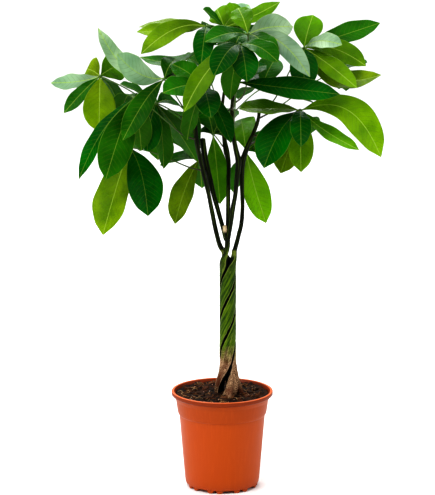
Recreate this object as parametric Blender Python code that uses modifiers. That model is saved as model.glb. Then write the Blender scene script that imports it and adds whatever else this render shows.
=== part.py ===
"""Potted money tree: three twisted trunks in a plastic nursery pot, with palmate leaves.

Metres, +Z up, the front of the plant faces -Y. It is built with the pot's axis on Z and its feet at
Z = 0, and then moved level, so that the origin is below the middle of its bounding box.
"""

import itertools
import math
import random

import bmesh
import bpy
from mathutils import Matrix, Vector
from mathutils.bvhtree import BVHTree

OBJECT_NAME = "potted_money_tree"
SEED = 11

# Front view: how a place read off the front view becomes a place in space. Readings run from the view's
# top left corner, and one step of them is one VIEW_FOCAL-th of the distance along the line of sight.
VIEW_DISTANCE = 5.0
VIEW_SIDE = -0.0088
VIEW_HEIGHT = 1.5149
VIEW_TILT = math.radians(11.95)
VIEW_FOCAL = 2755.0
VIEW_CENTRE = (217.5, 247.5)

# The least angle, in degrees, between two faces that still reads as an edge
POT_CREASE = 35
TRUNK_CREASE = 60
LEAF_CREASE = 50

# Pot
POT_HEIGHT = 0.1835
LIP_RADIUS = 0.095
LIP_ROUND = 0.0011
LIP_SKIRT = 0.0070
BASE_RADIUS = 0.0700
BASE_UNDERSIDE = 0.0052
BASE_ROUND = 0.0036
BASE_CORNER = 0.0032
FLOOR_TOP = 0.0080
LIP_DEPTH = 0.0098
RIM_INNER_RADIUS = 0.0904
NECK_RADIUS = 0.0874
NECK_DEPTH = 0.0050
LEDGE_HEIGHT = 0.1385
WALL_THICKNESS = 0.0020
POT_STEPS = 30
FOOT_PAIRS = 8
FOOT_PAIR_START = math.radians(-57)
FOOT_HALF_SPREAD = math.radians(8)
FOOT_RADIUS = 0.0065
FOOT_SIDES = 10
FOOT_INNER = 0.0560
FOOT_OUTER = 0.0664
FOOT_TOP = 0.0068
DRAIN_RADIUS = 0.0050
DRAIN_PLACE = 0.0540
DRAIN_DEPTH = 0.020
DRAIN_SIDES = 8

# Soil
SOIL_TOP = 0.1787
SOIL_RADIUS = 0.0865
SOIL_STEPS = 24
SOIL_RINGS = (0.026, 0.052, 0.073)
SOIL_WALL_GAP = 0.0006
SOIL_RELIEF = 0.0018
# Waves of the surface: how fast each turns along X and along Y, its phase and its share of the relief
SOIL_WAVES = ((170, 140, 0.7, 0.5), (170, -140, 1.9, 0.5), (410, -260, 2.1, 0.45))
CHIP_COUNT = 14
CHIP_PLACES = (0.036, 0.072)
CHIP_LENGTHS = (0.010, 0.017)
CHIP_WIDTHS = (0.006, 0.009)
CHIP_HEIGHT = 0.008
CHIP_SINK = 0.0015
CHIP_TILT = 0.3
GOLDEN_ANGLE = 2.39996

# Trunk: three strands twisted together round one upright line
TRUNK_X = 0.0104
TRUNK_Y = 0.003
TWIST_PITCH = 0.194
TWIST_FRONT_HEIGHT = 0.3281
TWIST_EASE_HEIGHT = 0.2704
TWIST_EASE = 0.70
STRAND_FOOT = 0.1530
TWIST_TOP = 0.4475
TWIST_RADIUS = 0.0090
TRUNK_RADIUS = 0.0155
STRAND_RADIUS = 0.0070
STRAND_GAP = 0.0006
STRAND_EDGE = 5
STRAND_SIDES = 12
STRAND_SPANS = 17
FLARE_TOP = 0.2435
FLARE_FOOT = 0.1835
FLARE_TWIST_RADIUS = 0.0162
FLARE_STRAND_RADII = (0.0100, 0.0088, 0.0130)
TAPER_FOOT = 0.4150
TOP_SPREAD = 0.0030
SHOOT_RADIUS = 0.0048
HOLE_GAP = 0.0005
HOLE_REACH = 0.030

# Leaves
BLADE_THICKNESS = 0.0009
BLADE_STATIONS = (0.0, 0.24, 0.52, 0.80, 1.0)
BLADE_SWELL = (1.15, 0.78)
BLADE_FOLD = 0.14
BLADE_BASE_HALF = 0.0013
BLADE_TIP_HALF = 0.0006
BLADE_LANES = 2
# How far a blade's upper side leans outward, and the least outward run that tells which way that is
BLADE_LEAN = 0.35
BLADE_LEAST_RUN = 0.05
# An arch rises partly straight up and partly along the blade's normal, and sooner than halfway
ARCH_UP = 0.7
ARCH_PEAK = 1.25
ARCH_EARLY = 0.5
LEAFLET_START = 0.0018
HUB_RADIUS = 0.0038
PETIOLE_HUB_RADIUS = 0.0014
PETIOLE_STEM_RADIUS = 0.0021
PETIOLE_GAP = 0.0004
PETIOLE_HEEL = 0.0025
PETIOLE_SPANS = 4
# The two guide points of a petiole's arc: how far along it each is, and how high above its chord
PETIOLE_LEAVE = (0.20, 0.05)
PETIOLE_ARRIVE = (0.62, 0.07)
PETIOLE_TAPER = 2.5
# Sides of the light tubes that stand for petioles and shoots while clearances are measured
PETIOLE_RING = 5
SHOOT_RING = 8
CLEAR = 0.0016
# Where a petiole may start and bend instead, if its own place isn't clear: drop and sway
PETIOLE_TRIES = (
    (0.0, 0.0),
    (0.0, 0.010),
    (0.0, -0.010),
    (-0.008, 0.0),
    (0.008, 0.0),
    (-0.008, 0.015),
    (-0.016, -0.015),
    (0.016, 0.0),
    (-0.024, 0.0),
    (-0.030, 0.020),
    (-0.030, -0.020),
)
# Where a leaflet may go instead: how many steps, how long each is, and how much each counts
NUDGE_DEPTH = (3, 0.014, 0.55)
NUDGE_ACROSS = (2, 0.008, 1.0)
NUDGE_UP = (2, 0.008, 1.0)
NUDGE_TURN = (1, 18, 0.7)


def seen(across, down, depth):
    """The place in space of a front-view reading at this depth."""
    ahead = Vector((0.0, math.cos(VIEW_TILT), -math.sin(VIEW_TILT)))
    above = Vector((0.0, math.sin(VIEW_TILT), math.cos(VIEW_TILT)))
    right = Vector((1.0, 0.0, 0.0))
    sight = ahead * VIEW_FOCAL + right * (across - VIEW_CENTRE[0]) + above * (VIEW_CENTRE[1] - down)
    return Vector((VIEW_SIDE, -VIEW_DISTANCE, VIEW_HEIGHT)) + sight * (VIEW_DISTANCE + depth) / sight.y


def smooth_step(value, start, end):
    share = min(1.0, max(0.0, (value - start) / (end - start)))
    return share * share * (3 - 2 * share)


def clear_scene():
    for obj in list(bpy.data.objects):
        bpy.data.objects.remove(obj, do_unlink=True)


def make_collection(name):
    collection = bpy.data.collections.new(name)
    bpy.context.scene.collection.children.link(collection)
    return collection


def make_material(name, colour, roughness):
    material = bpy.data.materials.new(name)
    material.use_nodes = True
    shader = material.node_tree.nodes["Principled BSDF"]
    shader.inputs["Base Color"].default_value = (*colour, 1.0)
    shader.inputs["Roughness"].default_value = roughness
    shader.inputs["Metallic"].default_value = 0.0
    return material


def new_object(name, mesh, collection):
    obj = bpy.data.objects.new(name, mesh)
    collection.objects.link(obj)
    return obj


def give_material(obj, material):
    obj.data.materials.clear()
    obj.data.materials.append(material)


def mesh_object(name, vertices, edges, faces, collection):
    mesh = bpy.data.meshes.new(name)
    mesh.from_pydata([tuple(v) for v in vertices], edges, faces)
    mesh.update()
    return new_object(name, mesh, collection)


def solid_object(name, collection, build, **settings):
    """An object of one of bmesh's own solids."""
    work = bmesh.new()
    build(work, **settings)
    mesh = bpy.data.meshes.new(name)
    work.to_mesh(mesh)
    work.free()
    return new_object(name, mesh, collection)


def apply_modifiers(obj):
    """Replaces the object's mesh by its evaluated one and drops the modifiers."""
    graph = bpy.context.evaluated_depsgraph_get()
    mesh = bpy.data.meshes.new_from_object(obj.evaluated_get(graph))
    obj.modifiers.clear()
    obj.data = mesh


def weld(mesh, distance=0.00001):
    work = bmesh.new()
    work.from_mesh(mesh)
    bmesh.ops.remove_doubles(work, verts=work.verts, dist=distance)
    bmesh.ops.recalc_face_normals(work, faces=work.faces)
    work.to_mesh(mesh)
    work.free()


def tube(name, points, radii, collection, sides_setting=1):
    """A closed round tube along the points, as a mesh object."""
    curve = bpy.data.curves.new(name, "CURVE")
    curve.dimensions = "3D"
    curve.bevel_depth = 1.0
    curve.bevel_resolution = sides_setting
    curve.use_fill_caps = True
    spline = curve.splines.new("POLY")
    spline.points.add(len(points) - 1)
    for spot, point, radius in zip(spline.points, points, radii):
        spot.co = (*point, 1.0)
        spot.radius = radius
    guide = bpy.data.objects.new(name + "_curve", curve)
    collection.objects.link(guide)
    graph = bpy.context.evaluated_depsgraph_get()
    mesh = bpy.data.meshes.new_from_object(guide.evaluated_get(graph))
    bpy.data.objects.remove(guide)
    bpy.data.curves.remove(curve)
    mesh.name = name
    weld(mesh)
    return new_object(name, mesh, collection)


def union(base, others, solver="EXACT"):
    """Joins the other objects to the base in one solid and removes them."""
    pieces = bpy.data.collections.new(base.name + "_pieces")
    bpy.context.scene.collection.children.link(pieces)
    for other in others:
        for home in list(other.users_collection):
            home.objects.unlink(other)
        pieces.objects.link(other)
    joined = base.modifiers.new("Join", "BOOLEAN")
    joined.operation = "UNION"
    joined.operand_type = "COLLECTION"
    joined.collection = pieces
    joined.solver = solver
    apply_modifiers(base)
    for other in list(pieces.objects):
        bpy.data.objects.remove(other)
    bpy.data.collections.remove(pieces)


def cut(base, cutters):
    for index, cutter in enumerate(cutters):
        cutter.hide_render = True
        cutter.display_type = "WIRE"
        hole = base.modifiers.new(f"Cut {index + 1}", "BOOLEAN")
        hole.operation = "DIFFERENCE"
        hole.object = cutter


def shade(obj, angle):
    obj.data.shade_smooth()
    obj.data.set_sharp_from_angle(angle=math.radians(angle))


# Pot and soil


def wall_outline():
    """The wall's outer side under the lip, from the underside of the lip to the foot of the wall."""
    return [
        (0.0866, POT_HEIGHT - 0.0180),
        (0.0851, POT_HEIGHT - 0.0290),
        (0.0835, LEDGE_HEIGHT + 0.0055),
        (0.0823, LEDGE_HEIGHT + 0.0015),
        (0.0805, LEDGE_HEIGHT),
        (0.0801, LEDGE_HEIGHT - 0.0030),
        (0.0745, POT_HEIGHT - 0.1160),
        (BASE_RADIUS, BASE_UNDERSIDE + 0.0110),
    ]


def wall_bends():
    """The points of the outer side that the inner side and the soil follow too, from the top down."""
    under_lip, _, step, _, ledge, _, foot, _ = wall_outline()
    return under_lip, step, ledge, foot


def pot_profile():
    """The wall's section, from the floor's centre up the inside, over the lip and down the outside."""
    top = POT_HEIGHT
    inside = [
        (0.0, FLOOR_TOP),
        (BASE_RADIUS - BASE_CORNER - 0.0030, FLOOR_TOP),
        (BASE_RADIUS - BASE_CORNER, FLOOR_TOP + BASE_CORNER),
    ]
    for radius, height in reversed(wall_bends()):
        inside.append((radius - WALL_THICKNESS, height))
    inside += [(NECK_RADIUS, top - NECK_DEPTH), (RIM_INNER_RADIUS, top)]
    lip = [
        (LIP_RADIUS - LIP_ROUND, top),
        (LIP_RADIUS, top - LIP_ROUND),
        (LIP_RADIUS, top - LIP_SKIRT),
        (RIM_INNER_RADIUS, top - LIP_DEPTH),
    ]
    base = [
        (BASE_RADIUS - BASE_ROUND / 3, BASE_UNDERSIDE + BASE_ROUND * 2 / 3),
        (BASE_RADIUS - BASE_ROUND, BASE_UNDERSIDE),
        (0.0, BASE_UNDERSIDE),
    ]
    return inside + lip + wall_outline() + base


def turned(name, profile, steps, collection):
    """A profile of (radius, height) turned round Z."""
    vertices = [(radius, 0.0, height) for radius, height in profile]
    edges = [(i, i + 1) for i in range(len(vertices) - 1)]
    obj = mesh_object(name, vertices, edges, [], collection)
    screw = obj.modifiers.new("Turn", "SCREW")
    screw.steps = steps
    screw.render_steps = steps
    screw.use_merge_vertices = True
    screw.merge_threshold = 0.0001
    apply_modifiers(obj)
    weld(obj.data)
    return obj


def make_foot(angle, collection):
    """A short round-bottomed bar along a radius of the pot, with a narrow flat to stand on."""
    length = FOOT_OUTER - FOOT_INNER
    bar = {"segments": FOOT_SIDES, "radius1": FOOT_RADIUS, "radius2": FOOT_RADIUS, "depth": length}
    foot = solid_object("foot", collection, bmesh.ops.create_cone, cap_ends=True, **bar)
    foot.data.transform(Matrix.Rotation(math.pi / 2, 4, "Y"))
    flat = FOOT_RADIUS * math.cos(math.pi / FOOT_SIDES)
    for vertex in foot.data.vertices:
        vertex.co.x += (FOOT_INNER + FOOT_OUTER) / 2
        vertex.co.z = min(vertex.co.z + flat, FOOT_TOP)
    foot.rotation_euler.z = angle
    return foot


def make_pot(collection, cutters):
    pot = turned("pot", pot_profile(), POT_STEPS, collection)
    feet = []
    for pair in range(FOOT_PAIRS):
        centre = FOOT_PAIR_START + pair * math.tau / FOOT_PAIRS
        for side in (-1, 1):
            angle = centre + side * FOOT_HALF_SPREAD - math.pi / 2
            feet.append(make_foot(angle, collection))
    bpy.context.view_layer.update()
    union(pot, feet)
    drains = []
    bar = {"segments": DRAIN_SIDES, "radius1": DRAIN_RADIUS, "radius2": DRAIN_RADIUS, "depth": DRAIN_DEPTH}
    for pair in range(FOOT_PAIRS):
        angle = FOOT_PAIR_START + (pair + 0.5) * math.tau / FOOT_PAIRS - math.pi / 2
        name = f"drain_cutter_{pair + 1}"
        drain = solid_object(name, cutters, bmesh.ops.create_cone, cap_ends=True, **bar)
        drain.location = (DRAIN_PLACE * math.cos(angle), DRAIN_PLACE * math.sin(angle), FLOOR_TOP)
        drains.append(drain)
    cut(pot, drains)
    return pot


def soil_relief(x, y):
    waves = [math.sin(x * fast + y * aside + phase) * share for fast, aside, phase, share in SOIL_WAVES]
    return SOIL_RELIEF * sum(waves)


def soil_profile():
    """Up the outer side of the fill is last, so that the surface faces out."""
    gap = SOIL_WALL_GAP
    wall = [(SOIL_RADIUS, SOIL_TOP - gap)]
    for radius, height in wall_bends():
        wall.append((radius - WALL_THICKNESS - gap, height))
    wall += [
        (BASE_RADIUS - BASE_CORNER - gap, FLOOR_TOP + BASE_CORNER + gap / 2),
        (BASE_RADIUS - 2 * BASE_CORNER, FLOOR_TOP + gap),
        (0.0, FLOOR_TOP + gap),
    ]
    top = [(0.0, SOIL_TOP)] + [(radius, SOIL_TOP) for radius in SOIL_RINGS]
    return top + wall


def make_soil(collection):
    soil = turned("soil", soil_profile(), SOIL_STEPS, collection)
    for vertex in soil.data.vertices:
        x, y, z = vertex.co
        if z > SOIL_TOP - SOIL_RELIEF:
            vertex.co.z = z + soil_relief(x, y)
    draw = random.Random(SEED)
    chips = [make_chip(index, draw, collection) for index in range(CHIP_COUNT)]
    bpy.context.view_layer.update()
    union(soil, chips)
    return soil


def make_chip(index, draw, collection):
    """A flake of bark, most of it in the soil."""
    chip = solid_object(f"chip_{index + 1}", collection, bmesh.ops.create_cube, size=1.0)
    radius = draw.uniform(*CHIP_PLACES)
    angle = index * GOLDEN_ANGLE
    x = radius * math.cos(angle)
    y = radius * math.sin(angle)
    chip.scale = (draw.uniform(*CHIP_LENGTHS), draw.uniform(*CHIP_WIDTHS), CHIP_HEIGHT)
    tilt = draw.uniform(-CHIP_TILT, CHIP_TILT)
    chip.rotation_euler = (tilt, draw.uniform(-CHIP_TILT, CHIP_TILT), draw.uniform(0, math.pi))
    chip.location = (x, y, SOIL_TOP - CHIP_SINK)
    return chip


# Trunk


def twist_angle(strand, height):
    """The first strand crosses the front at TWIST_FRONT_HEIGHT. The twist is slacker near the soil."""
    lead = (0.0, math.tau / 3, -math.tau / 3)[strand]
    slack = min(0.0, height - TWIST_EASE_HEIGHT) * (1 - TWIST_EASE)
    return -math.pi / 2 + math.tau * (height - slack - TWIST_FRONT_HEIGHT) / TWIST_PITCH + lead


def twist_place(strand, height):
    flare = 1 - smooth_step(height, FLARE_FOOT, FLARE_TOP)
    spread = TOP_SPREAD * smooth_step(height, TAPER_FOOT, TWIST_TOP)
    radius = TWIST_RADIUS + (FLARE_TWIST_RADIUS - TWIST_RADIUS) * flare + spread
    angle = twist_angle(strand, height)
    x = TRUNK_X + radius * math.cos(angle)
    y = TRUNK_Y + radius * math.sin(angle)
    return Vector((x, y, height))


def twist_girth(strand, height):
    """A strand's radius where it is round, and how far its neighbours press it into a third of a round."""
    flare = 1 - smooth_step(height, FLARE_FOOT, FLARE_TOP)
    taper = smooth_step(height, TAPER_FOOT, TWIST_TOP)
    girth = STRAND_RADIUS + (FLARE_STRAND_RADII[strand] - STRAND_RADIUS) * flare
    return girth + (SHOOT_RADIUS - girth) * taper, (1 - flare) * (1 - taper)


def third_reach(out, turn):
    """How far a third of the trunk's round reaches from a centre this far out, in one direction."""
    rim = TRUNK_RADIUS - TWIST_RADIUS + out
    reaches = [math.sqrt(rim**2 - (out * math.sin(turn)) ** 2) - out * math.cos(turn)]
    for side in (1, -1):
        closing = side * math.sin(turn) - math.sqrt(3) * math.cos(turn)
        if closing > 0:
            reaches.append((math.sqrt(3) * out - STRAND_GAP) / closing)
    return sum(reach**-STRAND_EDGE for reach in reaches) ** (-1 / STRAND_EDGE)


def twist_ring(strand, height, sides, gap=0.0):
    """A level section of a strand, this much wider all round."""
    centre = twist_place(strand, height)
    heading = twist_angle(strand, height)
    out = math.hypot(centre.x - TRUNK_X, centre.y - TRUNK_Y)
    girth, pressed = twist_girth(strand, height)
    ring = []
    for k in range(sides):
        turn = math.tau * k / sides
        reach = girth + (third_reach(out, turn) - girth) * pressed + gap
        ring.append(centre + Vector((math.cos(heading + turn), math.sin(heading + turn), 0.0)) * reach)
    return ring


def twist_heights(spans):
    return [STRAND_FOOT + (TWIST_TOP - STRAND_FOOT) * i / spans for i in range(spans + 1)]


def rings_along(route, girths, sides, first):
    """Round rings across the route, which turn as little as can be and start in this direction."""
    rings = []
    for index, (point, girth) in enumerate(zip(route, girths)):
        ahead = (route[min(index + 1, len(route) - 1)] - route[max(index - 1, 0)]).normalized()
        first = (first - ahead * first.dot(ahead)).normalized()
        second = ahead.cross(first)
        turns = [math.tau * k / sides for k in range(sides)]
        rings.append([point + (first * math.cos(turn) + second * math.sin(turn)) * girth for turn in turns])
    return rings


# Each shoot: front-view readings (across, down, depth) and radii, from the twist's top upwards.
SHOOTS = {
    "left": [
        (220.2, 246, 0.006, 0.0046),
        (216.9, 235, 0.003, 0.0042),
        (213.2, 218, 0.000, 0.0042),
        (208.7, 195, -0.008, 0.0038),
        (204.6, 178, -0.016, 0.0038),
        (200.0, 158, -0.024, 0.0040),
        (196.8, 142, -0.030, 0.0041),
        (194.6, 121, -0.034, 0.0041),
        (193.8, 104, -0.036, 0.0034),
        (195.0, 90, -0.036, 0.0028),
    ],
    "back": [
        (226.2, 240, -0.004, 0.0044),
        (222.4, 226, 0.004, 0.0040),
        (217.9, 210, 0.010, 0.0042),
        (213.4, 194, 0.016, 0.0046),
        (209.6, 178, 0.020, 0.0052),
        (205.4, 160, 0.022, 0.0055),
        (202.4, 139, 0.024, 0.0053),
    ],
    "middle": [
        (227.2, 247, -0.006, 0.0050),
        (227.6, 238, -0.004, 0.0050),
        (228.0, 226, 0.002, 0.0042),
        (228.2, 200, 0.012, 0.0040),
        (228.5, 180, 0.022, 0.0036),
        (228.6, 163, 0.030, 0.0040),
        (226.4, 151, 0.034, 0.0055),
        (224.0, 136, 0.040, 0.0037),
        (222.0, 112, 0.048, 0.0032),
        (224.0, 92, 0.050, 0.0025),
    ],
    "front": [
        (227.8, 240, -0.006, 0.0044),
        (230.5, 225, -0.012, 0.0040),
        (232.9, 208, -0.016, 0.0046),
        (235.4, 194, -0.020, 0.0040),
        (237.0, 177, -0.024, 0.0046),
        (238.4, 162, -0.026, 0.0055),
        (235.6, 148, -0.028, 0.0044),
        (232.4, 130, -0.030, 0.0036),
        (232.2, 106, -0.032, 0.0032),
        (234.0, 84, -0.034, 0.0025),
    ],
    "right": [
        (235.6, 247, 0.006, 0.0042),
        (238.9, 234, 0.008, 0.0040),
        (241.3, 224, 0.010, 0.0040),
        (242.5, 208, 0.012, 0.0036),
        (242.2, 192, 0.012, 0.0038),
        (241.8, 174, 0.012, 0.0044),
        (243.0, 160, 0.012, 0.0055),
        (248.6, 144, 0.010, 0.0041),
        (254.0, 132, 0.008, 0.0036),
        (258.5, 118, 0.006, 0.0030),
        (260.0, 100, 0.006, 0.0025),
    ],
}
STUMP = [(227.0, 240, -0.005, 0.0048), (225.2, 232, -0.008, 0.0041), (224.8, 226, -0.010, 0.0039)]
# Surface roots: the strand that each grows from, its points and its radii
ROOTS = (
    (
        2,
        ((0.0185, -0.0080, 0.2160), (0.0140, -0.0240, 0.1925), (0.0115, -0.0420, 0.1715)),
        (0.0045, 0.0076, 0.0050),
    ),
    (
        2,
        ((0.0245, 0.0015, 0.2090), (0.0312, 0.0015, 0.1890), (0.0385, 0.0005, 0.1690)),
        (0.0060, 0.0060, 0.0052),
    ),
)
UPPER_SPANS = 10
SIDE_SPANS = 10
ROOT_SPANS = 4
SIDE_SIDES_SETTING = 2


def shoot_route(name):
    places = [seen(across, down, depth) for across, down, depth, _ in SHOOTS[name]]
    return places, [reading[3] for reading in SHOOTS[name]]


def eased(points, radii, spans):
    """A smooth curve of this many spans through the points, with its radii."""
    ends = [points[0] * 2 - points[1]] + list(points) + [points[-1] * 2 - points[-2]]
    count = len(points) - 1
    route = []
    girths = []
    for step in range(spans + 1):
        along = step / spans * count
        index = min(int(along), count - 1)
        share = along - index
        a, b, c, d = ends[index : index + 4]
        linear = (c - a) * share
        square = (a * 2 - b * 5 + c * 4 - d) * share**2
        cubic = (b * 3 - a - c * 3 + d) * share**3
        route.append((b * 2 + linear + square + cubic) / 2)
        girths.append(radii[index] + (radii[index + 1] - radii[index]) * share)
    return route, girths


def upper_route(strand, spans):
    """The shoot that a strand ends in, from the top of the twist."""
    places, radii = shoot_route(("left", "middle", "right")[strand])
    return eased([twist_place(strand, TWIST_TOP)] + places, [SHOOT_RADIUS] + radii, spans)


def strand_route(strand):
    """A strand of the twist with the shoot that it ends in."""
    heights = twist_heights(STRAND_SPANS)
    upper, girths = upper_route(strand, UPPER_SPANS)
    route = [twist_place(strand, height) for height in heights] + upper[1:]
    return route, [twist_girth(strand, height)[0] for height in heights] + girths[1:]


def strand_rings(strand, sides, spans, upper_spans):
    """The sections of a strand from its foot to the tip of its shoot."""
    heights = twist_heights(spans)
    rings = [twist_ring(strand, height, sides) for height in heights]
    first = rings[-1][0] - twist_place(strand, TWIST_TOP)
    return rings + rings_along(*upper_route(strand, upper_spans), sides, first)[1:]


def side_route(name):
    places, radii = shoot_route(name)
    return eased(places, radii, SIDE_SPANS)


def root_route(points, radii):
    return eased([Vector(point) for point in points], radii, ROOT_SPANS)


def loft(name, rings, collection):
    """A closed solid through rings of as many points each."""
    sides = len(rings[0])
    last = (len(rings) - 1) * sides
    faces = [tuple(range(sides)), tuple(range(last, last + sides))]
    for start in range(0, last, sides):
        for k in range(sides):
            a = start + k
            b = start + (k + 1) % sides
            faces += [(a, b, b + sides), (a, b + sides, a + sides)]
    obj = mesh_object(name, [point for ring in rings for point in ring], [], faces, collection)
    weld(obj.data)
    return obj


def make_trunk(collection):
    """The three strands: left, middle with its side shoots, and right, with their surface roots."""
    strands = []
    for strand, name in enumerate(("trunk_left", "trunk_middle", "trunk_right")):
        rings = strand_rings(strand, STRAND_SIDES, STRAND_SPANS, UPPER_SPANS)
        strands.append(loft(name, rings, collection))
    branches = [tube("branch", *side_route(name), collection, SIDE_SIDES_SETTING) for name in ("back", "front")]
    stump = [seen(across, down, depth) for across, down, depth, _ in STUMP]
    branches.append(tube("stump", stump, [reading[3] for reading in STUMP], collection, SIDE_SIDES_SETTING))
    union(strands[1], branches)
    for strand, points, radii in ROOTS:
        union(strands[strand], [tube("root", *root_route(points, radii), collection, SIDE_SIDES_SETTING)])
    return strands


def root_hole(name, route, girths, cutters):
    """A tube a little wider and longer than the root in its hole, also where its flat sides are."""
    far = route[-1] + (route[-1] - route[-2]).normalized() * HOLE_GAP
    flats = math.cos(math.pi / (2 * SIDE_SIDES_SETTING + 4))
    radii = [(girth + HOLE_GAP) / flats for girth in girths]
    return tube(name, route[:-1] + [far], radii, cutters, SIDE_SIDES_SETTING)


def soil_holes(cutters):
    """Plain holes for the strands and their roots."""
    holes = []
    low = [height for height in twist_heights(STRAND_SPANS) if height < SOIL_TOP + HOLE_REACH]
    for strand in range(3):
        levels = [STRAND_FOOT - HOLE_GAP] + low
        rings = [twist_ring(strand, height, STRAND_SIDES, HOLE_GAP) for height in levels]
        holes.append(loft(f"hole_cutter_{strand + 1}", rings, cutters))
    for index, (_, points, radii) in enumerate(ROOTS):
        holes.append(root_hole(f"hole_cutter_root_{index + 1}", *root_route(points, radii), cutters))
    return holes


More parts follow.
